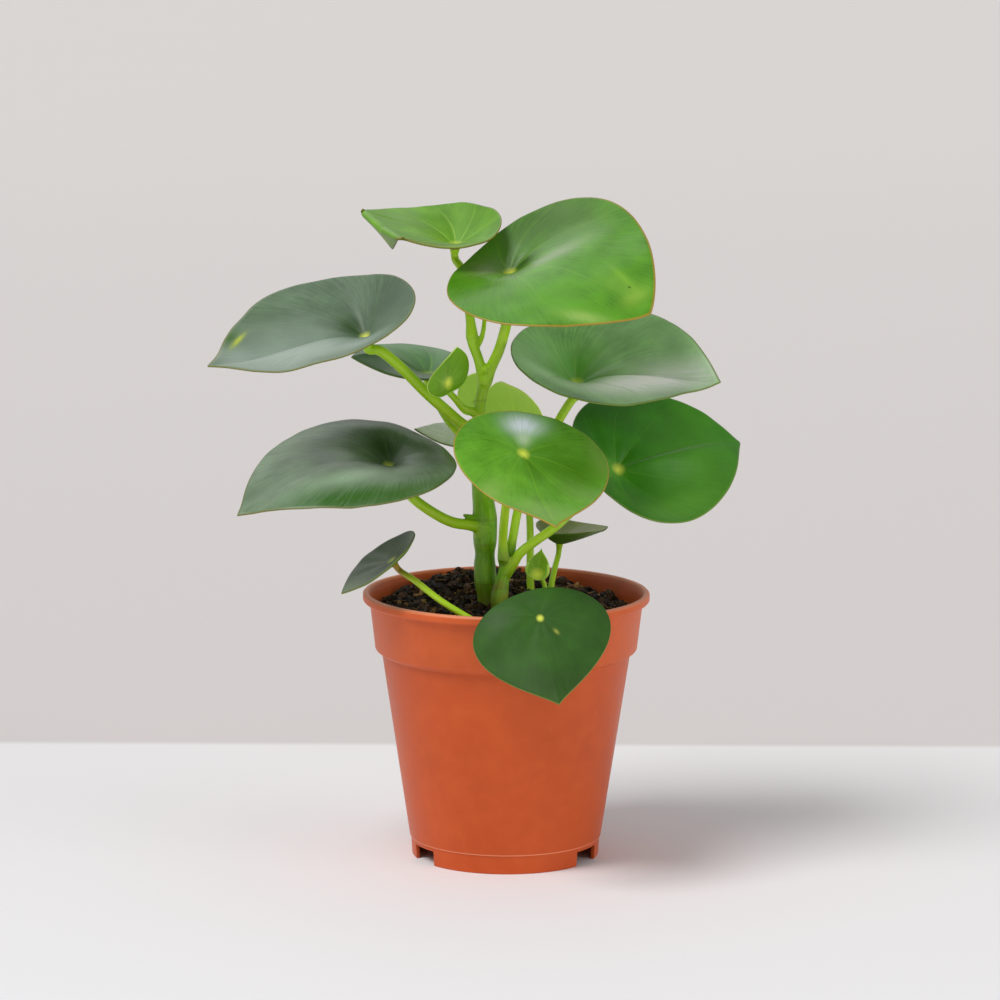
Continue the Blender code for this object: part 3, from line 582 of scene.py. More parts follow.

# %% [markdown]
# No two leaves are coloured alike. Each has a deep and a light green of its own, and soft zones
# of colour. Many zones are painted light and shade: pale painted sheens and highlights where
# the wax would mirror the room and the lamps, and painted shade in the hollow at the eye and on
# faces turned away from the lamp. Other zones shift the leaf's own green. A zone is written as
# its middle along and across the leaf, its two reaches in millimetres, its lean in degrees, its
# colour and its strength.
#
# The colours are what the eye should see, with lamps and sheens on them. A leaf that leans to the
# lamp needs darker paint for that than one in the shade, so `lit` says how much the light raises
# its red, green and blue, as a first render showed, and the paint is the colour divided by it.

# %% Leaf colours
# kind, lit, deep and light green, and zones of painted light, shade and tint: along, across, two
# reaches, lean, colour, strength
LEAF_LOOKS = {
    "top_left": dict(
        kind="fresh", lit=(1.25, 1.12, 3.5), deep=(84, 140, 44), light=(122, 172, 72), painted_light_and_tint_zones=[
            (20, -14, 16, 8, -20, (104, 146, 74), 0.6),
            (6, 2, 6, 5, 0, (150, 196, 60), 0.6),
            (28, 19, 24, 2.6, -14, (120, 108, 36), 0.9),
            (44, -3, 6, 9, 0, (168, 190, 60), 0.7)]),
    "top_right": dict(
        kind="bright", lit=(1.41, 1.34, 1.77), deep=(80, 150, 26), light=(106, 172, 42), painted_light_and_tint_zones=[
            # Painted shade: the upper left of the leaf, turned away from the lamp.
            (-4, 24, 15, 22, -30, (82, 116, 62), 0.8),
            (10, 34, 16, 12, 0, (88, 124, 62), 0.6),
            (14, -30, 16, 10, 0, (82, 140, 38), 0.6),
            # Painted sheen: pale reflections round the eye and along the ridge beside it.
            (-6, -8, 7, 9, 0, (142, 168, 110), 0.8),
            (17, 9, 4.5, 15, -25, (172, 188, 168), 0.8),
            (10, -11, 4, 8, -10, (146, 172, 130), 0.6),
            # Painted shade in the hollow at the eye.
            (4, 4, 4, 6.5, -20, (56, 84, 48), 0.9),
            (36, 20, 14, 10, 40, (94, 150, 50), 0.4),
            (48, -18, 20, 7, 0, (106, 180, 30), 0.8),
            # Painted highlight near the lower margin.
            (56, -21, 10, 3.5, 20, (172, 208, 120), 0.8),
            (54, 4, 9, 5, 0, (138, 192, 76), 0.6),
            (64, 2, 4, 7, 0, (166, 206, 84), 0.6),
            (54, 8, 9, 1.6, -20, (150, 204, 66), 0.6),
            (59, 5, 0.6, 0.5, 0, (40, 50, 20), 1)]),
    "left_upper": dict(
        kind="dark", lit=(1.35, 1.24, 1.28), deep=(88, 112, 84), light=(118, 140, 112), painted_light_and_tint_zones=[
            (-14, 4, 8, 10, 0, (80, 96, 78), 0.8),
            (-18, 10, 5, 10, 0, (100, 116, 98), 0.5),
            (36, -26, 16, 7, 0, (88, 114, 80), 0.6),
            # Painted sheen: the pale grey reflections of the room on this leaf.
            (34, 6, 30, 18, -4, (170, 182, 172), 0.95),
            (12, 23, 11, 9, 0, (176, 188, 178), 0.85),
            (56, -4, 8, 8, 0, (166, 178, 166), 0.8),
            # Painted shade in the hollow at the eye.
            (1, -6, 8, 7, 0, (54, 84, 40), 0.95),
            (52, -18, 8, 4.5, 35, (60, 106, 12), 1),
            (48.5, -14.5, 6, 1, 35, (196, 206, 72), 1)]),
    "right_upper": dict(
        kind="grey_green", lit=(0.46, 0.47, 0.43), deep=(66, 110, 46), light=(98, 138, 76), painted_light_and_tint_zones=[
            (-3, 3, 8, 10, 0, (58, 114, 22), 0.7),
            (-18, -2, 6, 14, 0, (98, 134, 82), 0.5),
            (-8, -20, 12, 7, 0, (128, 160, 118), 0.6),
            (12, -36, 12, 6, 0, (56, 88, 44), 0.85),
            # Painted sheen: the pale grey reflection along the near band.
            (30, -6, 27, 11, 25, (184, 194, 184), 1),
            (38, 20, 16, 6, -20, (100, 134, 86), 0.6)]),
    "left_lower": dict(
        kind="dark", lit=(1.19, 0.99, 1.23), deep=(84, 102, 78), light=(124, 138, 120), painted_light_and_tint_zones=[
            (4, -20, 14, 6, 0, (62, 86, 52), 0.6),
            (-16, 4, 7, 12, 0, (78, 98, 68), 0.6),
            (-18, -12, 6, 8, 0, (100, 122, 96), 0.6),
            # Painted sheen: the pale reflection along the ridge in front of the eye.
            (24, 16, 17, 5, -8, (164, 176, 162), 0.9),
            (4, 19, 9, 5, 20, (140, 154, 138), 0.8),
            (34, 28, 26, 6, -22, (52, 96, 20), 0.85),
            (10, 37, 22, 6, 0, (62, 96, 36), 0.9),
            (55, -6, 9, 6, 0, (92, 108, 88), 0.7),
            (50, 14, 8, 6, -20, (100, 126, 94), 0.6),
            # Painted shade in the hollow at the eye.
            (-2, -8, 7.5, 8, 0, (36, 64, 22), 0.95)]),
    "right_lower": dict(
        kind="deep_green", lit=(0.92, 0.59, 2.26), deep=(38, 86, 8), light=(56, 104, 18), painted_light_and_tint_zones=[
            (34, -12, 20, 20, 0, (84, 126, 56), 0.75),
            (40, 14, 14, 8, 0, (64, 106, 36), 0.6),
            (16, -27, 22, 8, 0, (100, 138, 76), 0.85),
            (8, 29, 26, 8, 0, (34, 72, 8), 0.85),
            (-4, 1, 6, 6, 0, (104, 148, 70), 0.6),
            (-8, -14, 6, 6, 0, (76, 116, 46), 0.6)]),
    "centre": dict(
        kind="bright", lit=(0.94, 1.01, 0.69), deep=(82, 150, 26), light=(108, 172, 46), painted_light_and_tint_zones=[
            (8, 17, 18, 9, 60, (66, 122, 12), 0.8),
            (12, 0, 9, 8, 0, (76, 132, 22), 0.6),
            (40, -4, 10, 14, 0, (134, 172, 84), 0.7),
            (24, 20, 12, 6, 40, (106, 142, 62), 0.6),
            (30, -24, 12, 5, -40, (142, 184, 80), 0.7),
            (5, 32, 14, 4, 10, (122, 168, 60), 0.8),
            # Painted highlight just above the eye, where the small lamp mirrors.
            (-12, 1, 3.6, 8, 0, (226, 240, 226), 0.95),
            (-7, 1, 3, 3, 0, (196, 220, 160), 0.7)]),
    "hanging_front": dict(
        kind="matte_green", lit=(1.9, 1.41, 2.78), deep=(52, 92, 22), light=(70, 110, 42), painted_light_and_tint_zones=[
            (30, 0, 10, 18, 0, (50, 80, 22), 0.6),
            (7, 5, 1.3, 0.7, 30, (206, 190, 110), 0.9)]),
    "small_left": dict(
        kind="dark", lit=(1.15, 0.99, 1.24), deep=(72, 84, 62), light=(100, 112, 92), painted_light_and_tint_zones=[
            (22, 0, 8, 8, 0, (110, 118, 98), 0.6)]),
    "back_left": dict(
        kind="grey_green", lit=(1.11, 0.91, 0.85), deep=(78, 112, 62), light=(108, 138, 90), painted_light_and_tint_zones=[
            (22, -2, 9, 12, 0, (100, 128, 78), 0.4),
            (4, 14, 14, 4, 10, (104, 126, 40), 0.8)]),
    "young_cupped": dict(
        kind="young", lit=(1.25, 1.2, 2), deep=(96, 148, 12), light=(122, 172, 36), painted_light_and_tint_zones=[
            (8, -3, 3, 4, 0, (110, 160, 30), 0.5),
            (1, 3, 2.5, 2.5, 0, (176, 208, 110), 0.7)]),
    "behind_stem": dict(kind="young", lit=(0.75, 0.7, 0.8), deep=(146, 186, 60),
        light=(166, 204, 84), painted_light_and_tint_zones=[]),
    "behind_centre": dict(
        kind="young", lit=(0.75, 0.7, 0.8), deep=(128, 164, 66), light=(154, 186, 92), painted_light_and_tint_zones=[
            (30, 0, 8, 20, 0, (120, 140, 70), 0.6)]),
    "small_right": dict(kind="dark", lit=(0.62, 0.64, 3.1), deep=(86, 98, 76),
        light=(110, 122, 100), painted_light_and_tint_zones=[]),
    # The whole leaf is painted pale grey, a painted reflection of the room on a leaf seen at a low
    # angle.
    "back_middle": dict(
        kind="dark", lit=(0.36, 0.36, 0.36), deep=(158, 165, 164), light=(184, 189, 188), painted_light_and_tint_zones=[
            (4, 8, 8, 5, 0, (110, 124, 96), 0.5)]),
    "young_top": dict(kind="young", deep=(130, 180, 30), light=(160, 204, 70), painted_light_and_tint_zones=[]),
    "sprout": dict(kind="young", lit=(1.5, 1.5, 1.6), deep=(120, 180, 20),
        light=(160, 206, 60), painted_light_and_tint_zones=[]),
}
STREAK_CONTRAST = (0.16, 0.128)


def painted(tone, lit):
    """The paint that comes out as the tone when the lamps have done their part."""
    return (*(min(1.0, light / part) for light, part in zip(colour(*tone), lit)), 1.0)


def spread(deep, light):
    """The two greens moved apart, because the streaks between them soften both."""
    middle = [(low + high) / 2 for low, high in zip(deep, light)]
    down, up = STREAK_CONTRAST
    return ([max(0, low - down * mid) for low, mid in zip(deep, middle)],
            [min(255, high + up * mid) for high, mid in zip(light, middle)])


print("leaf colours:", len(LEAF_LOOKS), "leaves with",
      sum(len(look["painted_light_and_tint_zones"]) for look in LEAF_LOOKS.values()), "painted_light_and_tint_zones")

# %% One finish for each leaf
SPOT_EDGE = (1.5, 5.0)
RIM_SHARES = (0.982, 0.997)
LEAF_GLOSS = dict(Specular_IOR_Level=0.35, IOR=1.45)
STREAK_COUNT = 22
LEAF_GRAIN = 0.15 * MM


def zone(finish, along, across, long, wide, lean, streaks):
    """1 at the middle of a soft oval and 0 outside, with an edge frayed along the streaks."""
    cosine, sine = math.cos(math.radians(lean)), math.sin(math.radians(lean))
    ahead = (along * cosine + across * sine) / long
    beside = (across * cosine - along * sine) / wide
    reach = ahead * ahead + beside * beside + 1.8 * (streaks - 0.5)
    return finish.clamp(finish.math("EXPONENT", reach * -1.0))


def leaf_finish(name, look):
    """The formula of one leaf, on its upper and its lower face."""
    finish = Finish(name, **LEAF_GLOSS)
    lit = look.get("lit", (1, 1, 1))
    along, across, share = finish.split(finish.attribute("place"))
    upper = finish.attribute("upper", "Fac")
    radius = finish.math("SQRT", along * along + across * across)
    turn = finish.math("ARCTAN2", across, along)
    clouds = finish.noise(finish.vector(along * 0.05, across * 0.05, 0.0), 1.6, 3.0)
    swept = turn + VEIN_SWEEP * share * finish.math("SINE", turn)
    rays = finish.vector(finish.math("COSINE", swept) * STREAK_COUNT,
                         finish.math("SINE", swept) * STREAK_COUNT, radius * 0.05)
    streaks = finish.noise(rays, 1.6, 5.0, 0.7)
    phase = (swept + 0.1 * (clouds - 0.5)) * (VEINS / math.tau)
    off = finish.math("ABSOLUTE", phase - finish.math("ROUND", phase))
    distance = off * radius * (math.tau / VEINS)
    vein = finish.clamp(1 - distance / VEIN_WIDTH) * finish.step(radius, *SPOT_EDGE)
    vein = vein * finish.clamp(1.05 - share) * look["veins"]
    streaky = look["streaks"]
    patches = finish.clamp(1.1 * clouds + streaky * streaks - 0.05 - 0.5 * streaky)
    deep, light = spread(look["deep"], look["light"])
    green = finish.mix(patches, painted(deep, lit), painted(light, lit))
    for middle, side, long, wide, lean, tone, strength in look["painted_light_and_tint_zones"]:
        near = zone(finish, along - middle, across - side, long, wide, lean, streaks)
        green = finish.mix(near * strength, green, painted(tone, lit))
    green = finish.mix(vein, green, colour(*look["rib"]))
    eye = finish.step(radius + 2 * (streaks - 0.5), look.get("eye", EYE_RADIUS), 0.5)
    green = finish.mix(eye * 0.9, green, colour(*EYE_COLOUR))
    pale = finish.mix(finish.clamp(0.5 * clouds + vein), colour(*look["under"]),
                      colour(*look["rib"]))
    rim = finish.step(share, *RIM_SHARES) * 0.85
    skin = finish.mix(rim, finish.mix(upper, pale, green), colour(*look["rim"]))
    finish.use(Base_Color=skin)
    # Painted glow: a light of the leaf's own stands for light shining through it.
    if "glow" in look:
        finish.use(Emission_Color=skin, Emission_Strength=look["glow"])
    dull = 0.16 * (1 - upper)
    finish.use(Roughness=look["roughness"] + 0.22 * (streaks - 0.5) + 0.1 * (clouds - 0.5) + dull)
    specks = finish.noise(finish.vector(along, across, 0.0), 2.2, 2.0)
    finish.bump(0.9 * streaks + 0.2 * specks - 0.5 * vein, LEAF_GRAIN, 0.5)
    return finish.material


for name, blade in blades.items():
    look = LEAF_LOOKS[name]
    look.update(KINDS[look["kind"]])
    blade.data.materials.append(leaf_finish("leaf_" + name, look))
print("leaf finishes:", len(blades))

# %% [markdown]
# ## Stems and stalks
#
# Each leaf has a round stalk. The older ones grow out of the two stems, which are thicker, with
# a swelling where each leaf joins. The stalks that rise from the soil belong to younger shoots.
# The routes are again the frame's own, a few points each with a radius.

# %% The stem and stalk tables, in millimetres
MAIN_STEM = [
    (-6.5, -4, 78, 3.9), (-7, -4, 97, 4.2), (-8, -4, 109, 4.3), (-9, -3, 121.5, 4.6),
    (-9, -3, 130, 4.9), (-9, -2.5, 139, 5.1), (-9.3, -2, 146, 4.8), (-10, -1, 153, 4.5),
    (-11, 0, 163.5, 3.9), (-11.5, 1, 173.5, 3.4), (-11.5, 1.5, 179, 3.3),
    (-11.5, 2, 185.5, 2.6), (-11, 2, 192.5, 2.2), (-9.7, 1, 199.5, 2.6), (-10.5, 0.5, 204, 2.4),
    (-12, -0.5, 210, 2.1), (-14, -1, 215.5, 2.2), (-14.5, -1, 218.5, 2.5),
]
SIDE_SHOOT = [
    (-3.5, -13.2, 86, 2.6), (-3.5, -13.2, 99, 2.9), (-3, -12.6, 111, 3.4),
    (-1.5, -10.6, 119, 2.9), (0, -8.8, 124.5, 3.1), (0, -8.7, 126.7, 3.4),
]

# The stalks: points from the foot to just short of the blade, with the radius at foot and tip.
STALKS = {
    "top_left": dict(
        radii=(2.0, 1.6), points=[(-14.6, -1, 218.8), (-15.5, 0, 227), (-17, 2, 236.5),
                                  (-19, 4.5, 246.5)]),
    "top_right": dict(
        radii=(2.4, 2.0),
        points=[(-9.7, 1, 199.5), (-6.5, -1, 207), (-3.5, -4, 214), (-1, -7, 223),
                (1, -10, 233.5), (1.5, -12, 241)]),
    "left_upper": dict(
        radii=(2.5, 2.1),
        points=[(-11.5, 1, 178), (-18.5, -4, 183), (-25.5, -7, 189.5), (-34, -9.5, 197.5),
                (-44, -12, 208), (-52.5, -13.5, 215)]),
    "left_lower": dict(
        radii=(2.4, 2.0),
        points=[(-9, -2.5, 139), (-15, -6, 141), (-22.5, -8, 142.5), (-30, -10, 146.5),
                (-38, -12, 152.5), (-45, -13.5, 160)]),
    "right_upper": dict(
        radii=(1.9, 1.9),
        points=[(1.3, -6.4, 127.0), (1.5, -6.5, 129.5), (2.8, -6.5, 137), (4.5, -5.5, 146.5),
                (7, -4, 155.5), (14, -2, 170), (21, -1, 183.5), (26.5, -0.5, 192.5)]),
    "right_lower": dict(
        radii=(2.1, 1.9),
        points=[(-1, -10, 120.5), (2.7, -11, 125.5), (6, -11, 130.5), (13, -8.5, 135.5),
                (20, -5, 140), (29.5, 0, 148), (40, 4.5, 156.5)]),
    "centre": dict(
        radii=(1.9, 1.8),
        points=[(-1.2, -10.8, 127.0), (-1.4, -11.0, 129.5), (-1.5, -12, 136), (-1, -14.5, 144.5),
                (0, -18, 153.5), (2, -24, 163), (4.5, -29, 170)]),
    "hanging_front": dict(
        radii=(1.6, 1.5), lead=1.5,
        points=[(10, -40, 90), (10, -40.5, 103), (11.5, -45, 112.5), (13, -51.5, 117.5),
                (13.5, -58, 118), (13.5, -63.5, 114.8)]),
    "small_left": dict(
        radii=(1.6, 1.3),
        points=[(-4, -46, 90), (-5, -46.5, 100), (-9.5, -46.8, 106), (-16.5, -46, 110),
                (-27, -43, 116), (-37.5, -39, 123.5)]),
    "back_left": dict(
        radii=(1.5, 1.3),
        points=[(-11.5, 1, 172.5), (-16, 5, 174.5), (-21, 9, 178), (-26.5, 15, 184),
                (-30.5, 22, 190.5)]),
    "young_cupped": dict(
        radii=(1.7, 1.3),
        points=[(-11.4, 2, 186), (-15, 0, 188), (-18.5, -4, 190), (-22, -9, 195)]),
    "behind_stem": dict(
        radii=(1.3, 1.1),
        points=[(-11.5, 1.5, 176), (-13, 8, 177.5), (-14, 15, 181)]),
    "behind_centre": dict(
        radii=(1.7, 1.4),
        points=[(10.5, 9.5, 88), (10.5, 10, 106.5), (10, 12, 116.5), (10, 14, 131.5),
                (9.5, 16, 144), (8, 17.5, 156), (5, 18.5, 168)]),
    "small_right": dict(
        radii=(1.5, 1.2),
        points=[(17, 6, 90), (17.8, 7.5, 104), (19, 11.5, 112.5), (20.5, 16.5, 119)]),
    "back_middle": dict(
        radii=(1.4, 1.2),
        points=[(-11, 0, 162), (-12, 8, 164), (-14.5, 16, 166.5)]),
    "young_top": dict(
        radii=(1.1, 0.9),
        points=[(-13.8, -1, 213.5), (-10.8, 0.5, 218.5), (-9.6, 3, 224.5), (-9.5, 6.5, 229.5)]),
    "sprout": dict(
        radii=(1.2, 1.0), lead=1.5,
        points=[(17, -1, 92), (17, 1, 104), (16.5, 4, 111), (15.5, 6, 115)]),
}
print("stalks:", len(STALKS))

# %% [markdown]
# A tube could be swept in code, but a curve with a bevel is Blender's own tool for it: each
# point carries its radius. The points are read closely from a smooth curve through the table's
# points, so that no corner shows.

# %% Tubes along smooth routes
ROUTE_STEP = 1.2


def smooth_route(knots, step):
    """Points a step apart on a smooth curve; each has a place and a radius."""
    knots = [Vector(knot) for knot in knots]
    knots = [knots[0] * 2 - knots[1]] + knots + [knots[-1] * 2 - knots[-2]]
    route = []
    for a, b, c, d in zip(knots, knots[1:], knots[2:], knots[3:]):
        count = max(1, round((c - b).length / step))
        for i in range(count):
            t = i / count
            route.append(0.5 * (2 * b + (c - a) * t + (2 * a - 5 * b + 4 * c - d) * t ** 2
                                + (3 * b - a - 3 * c + d) * t ** 3))
    return route + [knots[-2]]


def tube_mesh(name, route):
    """A closed round tube through the route's places."""
    curve = bpy.data.curves.new(name, "CURVE")
    curve.dimensions = "3D"
    curve.bevel_depth = MM
    curve.bevel_resolution = 6
    curve.use_fill_caps = True
    spline = curve.splines.new("POLY")
    spline.points.add(len(route) - 1)
    for point, knot in zip(spline.points, route):
        point.co = (*(knot.xyz * MM), 1)
        point.radius = knot.w
    guide = add_object(name, curve)
    graph = bpy.context.evaluated_depsgraph_get()
    mesh = bpy.data.meshes.new_from_object(guide.evaluated_get(graph))
    bpy.data.objects.remove(guide, do_unlink=True)
    return mesh


print("main stem:", len(smooth_route(MAIN_STEM, ROUTE_STEP)), "places from", len(MAIN_STEM))

# %% [markdown]
# Where a stalk leaves its stem it is a little thicker, and just under the blade it flares out
# again to carry it. Its last point lies inside the blade, so that no gap shows from below.

# %% The stalks' routes
STEM_JOINTS = {
    "main_stem": [(144, 0.3), (128.5, -0.7), (116.5, 0.4), (110.5, -0.3), (192.5, 0.25)],
    "side_shoot": [(127, 0.45), (122, -0.2), (113, 0.35)],
}
JOINT_REACH = 3.2
FOOT_SWELL = 0.35
FOOT_REACH = 5.0
CROWN_FLARE = 0.55
CROWN_REACH = 1.6
SOIL_TOP = 100.0
NUBS = {
    "bud": [(-10.2, -1, 204.2, 1.2), (-9.2, -2.6, 205.6, 1.3), (-8.5, -3.2, 207.0, 0.6)],
    "spike_base": [(-12, -4, 143.4, 1.5), (-15.3, -5, 144.2, 1.2), (-18.2, -5, 145.1, 0.6)],
}


def route_lengths(route):
    """The distance from the foot to each point."""
    lengths = [0.0]
    for before, after in zip(route, route[1:]):
        lengths.append(lengths[-1] + (after.xyz - before.xyz).length)
    return lengths


def stalk_route(name):
    """From the foot to the middle of the blade, with the swelling at both ends."""
    stalk, leaf = STALKS[name], LEAVES[name]
    blade_up = blade_frame(leaf).to_3x3().col[2].normalized()
    eye = Vector(leaf["eye"])
    lead = stalk.get("lead", 4.0)
    places = [Vector(point) for point in stalk["points"]]
    places += [eye - blade_up * (1.5 + lead), eye - blade_up * 0.5]
    foot, top = stalk["radii"]
    last = len(places) - 1
    knots = [(*place, foot + (top - foot) * i / last) for i, place in enumerate(places)]
    route = smooth_route(knots, ROUTE_STEP)
    lengths = route_lengths(route)
    out_of_soil = stalk["points"][0][2] < SOIL_TOP
    for knot, length in zip(route, lengths):
        swell = 0 if out_of_soil else FOOT_SWELL * math.exp(-(length / FOOT_REACH) ** 2)
        flare = CROWN_FLARE * math.exp(-((lengths[-1] - length) / CROWN_REACH) ** 2)
        knot.w *= 1 + swell + flare
    return route


def stem_route(name, knots):
    """The stem with its joints: each a little thicker or thinner than the frame's."""
    route = smooth_route(knots, ROUTE_STEP)
    for knot in route:
        for height, change in STEM_JOINTS[name]:
            knot.w += change * math.exp(-((knot.z - height) / JOINT_REACH) ** 2)
    return route


routes = {name: stalk_route(name) for name in STALKS}
routes["main_stem"] = stem_route("main_stem", MAIN_STEM)
routes["side_shoot"] = stem_route("side_shoot", SIDE_SHOOT)
routes.update({name: smooth_route(knots, ROUTE_STEP) for name, knots in NUBS.items()})
print("routes:", len(routes), "with", sum(map(len, routes.values())), "points")

# %% [markdown]
# Stalks and stem grew as one, so their skins run into each other. Tubes that merely cross show
# a hard line there. A voxel remesh wraps one new skin round all of them, and a few rounds of
# smoothing turn each inner corner into a small fillet. It loses every stored value, so each new
# vertex looks up the nearest point of the routes and takes its place along the stalk from it.

# %% Grow the tubes together
VOXEL = 0.45 * MM
WELD = 0.005 * MM
SMOOTH_ROUNDS = 5
STEM_TINT = 9.0
CROWN_TINT = 7.0


def applied(piece):
    """The piece's mesh with its modifiers applied."""
    graph = bpy.context.evaluated_depsgraph_get()
    mesh = bpy.data.meshes.new_from_object(piece.evaluated_get(graph))
    piece.modifiers.clear()
    piece.data = mesh
    return mesh


def grown_piece(name, members):
    """One skin round the tubes of all members."""
    shape = bmesh.new()
    for member in members:
        shape.from_mesh(tube_mesh(member, routes[member]))
    bmesh.ops.remove_doubles(shape, verts=shape.verts, dist=WELD)
    piece = add_object(name, mesh_from(name, shape))
    remesh = piece.modifiers.new("skin", "REMESH")
    remesh.mode = "VOXEL"
    remesh.voxel_size = VOXEL
    smooth = piece.modifiers.new("fillets", "SMOOTH")
    smooth.factor = 0.5
    smooth.iterations = SMOOTH_ROUNDS
    applied(piece).shade_smooth()
    return piece


def route_samples(member):
    """Each point of a route: place, length so far, direction, and what grows there."""
    route = routes[member]
    lengths = route_lengths(route)
    samples = []
    for i, knot in enumerate(route):
        ahead = route[min(i + 1, len(route) - 1)].xyz - route[max(0, i - 1)].xyz
        is_stem = member in STEMS or member in NUBS
        stem = 1.0 if is_stem else max(0.0, 1 - lengths[i] / STEM_TINT) * (member not in IN_SOIL)
        crown = 0.0 if is_stem else math.exp((lengths[i] - lengths[-1]) / CROWN_TINT)
        kind = (stem, crown, BLUSH.get(member, 0.0))
        samples.append((knot.xyz, lengths[i], ahead.normalized(), kind))
    return samples


def store_route(piece, members):
    """Gives each vertex its distance along the stalk, the turn round it, and its kind."""
    samples = [sample for member in members for sample in route_samples(member)]
    tree = KDTree(len(samples))
    for i, sample in enumerate(samples):
        tree.insert(sample[0] * MM, i)
    tree.balance()
    along, kinds = [], []
    for vertex in piece.data.vertices:
        place, i, _ = tree.find(vertex.co)
        _, length, ahead, kind = samples[i]
        side = ahead.cross(Vector((0, 1, 0))).normalized()
        offset = (vertex.co - place).normalized()
        along.append((length, offset.dot(side), offset.dot(ahead.cross(side))))
        kinds.append(kind)
    set_attribute(piece.data, "route", "FLOAT_VECTOR", along)
    set_attribute(piece.data, "kind", "FLOAT_VECTOR", kinds)


STEMS = ("main_stem", "side_shoot")
IN_SOIL = [name for name, stalk in STALKS.items() if stalk["points"][0][2] < SOIL_TOP]
BLUSH = {"small_left": 1.0}
grown = {
    "main_stem_with_stalks": [
        "main_stem", "top_left", "top_right", "left_upper", "left_lower", "back_left",
        "young_cupped", "behind_stem", "back_middle", "young_top", *NUBS],
    "side_shoot_with_stalks": ["side_shoot", "right_lower", "right_upper", "centre"],
}
grown.update({"stalk_of_" + name: [name] for name in IN_SOIL})
stems = {}
for name, members in grown.items():
    piece = grown_piece(name, members)
    store_route(piece, members)
    nodes = [m if m in STEMS else "stalk_" + m for m in members if m not in NUBS]
    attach(piece, "root")
    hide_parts(*nodes)
    "stem_green" if "with_stalks" in name else "stalk_green"
    stems[name] = piece
print("stems:", {name: len(piece.data.polygons) for name, piece in stems.items()})

# %% [markdown]
# The stems' skin is smooth and a little waxy like the leaves, without a clear grain, but long
# pale and dark streaks run up it. Young stalks are a clear yellow-green. The stems are deeper,
# with a brownish ring where a leaf or a shoot joined, and olive brown near the soil.

# %% Stem finish
STEM_LOOK = dict(stalk=colour(158, 214, 6), stalk_pale=colour(200, 232, 60),
                 stem=colour(94, 154, 4), stem_pale=colour(150, 204, 36),
                 brown=colour(112, 92, 30), blush=colour(150, 96, 40))
# Scars and spots: place and reach in millimetres, colour, strength.
STEM_MARKS = [
    (-7, -15, 117, 3.6, (120, 72, 34), 0.85), (-2.5, -16, 118.5, 3.2, (146, 96, 44), 0.6),
    (2, -15, 120, 3.0, (132, 84, 36), 0.8), (-0.6, -15, 111, 4.0, (150, 164, 60), 0.6),
    (0.2, -12, 128.6, 3.4, (150, 170, 60), 0.6),
]
JOINT_HEIGHTS = (0.1158, 0.1326, 0.1431, 0.1925)
JOINT_WIDTH = 0.9 * MM
JOINT_WOBBLE = 1.2 * MM
YOUNG_HEIGHTS = (0.15, 0.2)
STAIN_HEIGHTS = (0.118, 0.106)
STEM_GRAIN = 0.4 * MM


def stem_finish(name, look):
    finish = Finish(name, Specular_IOR_Level=0.45)
    along, turn_x, turn_y = finish.split(finish.attribute("route"))
    stem, crown, blushing = finish.split(finish.attribute("kind"))
    x, y, height = finish.split(finish.place())
    streaks = finish.noise(finish.vector(along * 0.06, turn_x * 1.4, turn_y * 1.4), 2.4, 4.0, 0.6)
    clouds = finish.noise(finish.place(), 160.0, 2.0)
    tone = finish.clamp(1.5 * streaks + 0.6 * clouds - 0.6)
    wobble = JOINT_WOBBLE * (clouds - 0.5)
    young = finish.mix(tone, look["stalk"], look["stalk_pale"])
    old = finish.mix(tone, look["stem"], look["stem_pale"])
    old = finish.mix(finish.step(height + 3 * wobble, *YOUNG_HEIGHTS) * 0.7, old, young)
    green = finish.mix(stem, young, old)
    rings = 0.0
    for joint in JOINT_HEIGHTS:
        off = finish.math("ABSOLUTE", height + wobble - joint)
        rings = finish.clamp(1 - off / JOINT_WIDTH) + rings
    foot = finish.step(height + 4 * wobble, *STAIN_HEIGHTS)
    brown = finish.clamp((0.25 * rings + 0.75 * foot) * stem)
    green = finish.mix(brown, green, look["brown"])
    green = finish.mix(finish.clamp(2.4 * crown) * blushing * 0.85, green, look["blush"])
    for at_x, at_y, at_height, reach, tone, strength in STEM_MARKS:
        off = [(value - at * MM) / (reach * MM)
               for value, at in zip((x, y, height), (at_x, at_y, at_height))]
        length = finish.math("SQRT", sum(part * part for part in off))
        near = finish.step(length + 0.6 * (streaks - 0.5), 1.1, 0.5)
        green = finish.mix(near * strength, green, colour(*tone))
    finish.use(Base_Color=green, Roughness=0.34 + 0.25 * (streaks - 0.5) + 0.2 * brown)
    finish.bump(0.5 * streaks + 0.6 * clouds - 0.5 * brown, STEM_GRAIN, 0.5)
    return finish.material


stem_material = stem_finish("stem_skin", STEM_LOOK)
for piece in stems.values():
    piece.data.materials.append(stem_material)
print("stem finish on", len(stems), "pieces")

# %% [markdown]
# ## Soil
#
# Potting mix is dark peat, damp and crumbly, with bits of bark and root in it. Its surface is a
# lumpy disc that follows the frame's soil, and on it lie loose crumbs. Hair or particle systems
# could scatter them, but an ordinary mesh is kept by every other program too. Each crumb is one
# of two rough balls, turned, stretched and dented in its own way.

# %% Ground under the crumbs
SOIL_EDGE_Z = 103.0
SOIL_MOUND = 2.2
SOIL_MOUND_SPREAD = 24.0
SOIL_HEAP = 9.0
SOIL_HEAP_PLACE = (-8.0, 37.0)
SOIL_HEAP_SPREAD = (26.0, 16.0)
SOIL_STEPS = 192
SOIL_RINGS = 60
SOIL_RADIUS = 54.5
SOIL_UNDERSIDE = [(54.6, 101.5), (53.3, 88.7), (50.5, 85.9), (38.7, 10.2), (38.0, 9.4),
                  (14.7, 9.4), (10.9, 1.7)]
SOIL_TONE = 0.25
GRIT = [(1.2, 5.0, 1), (0.7, 2.1, 5)]


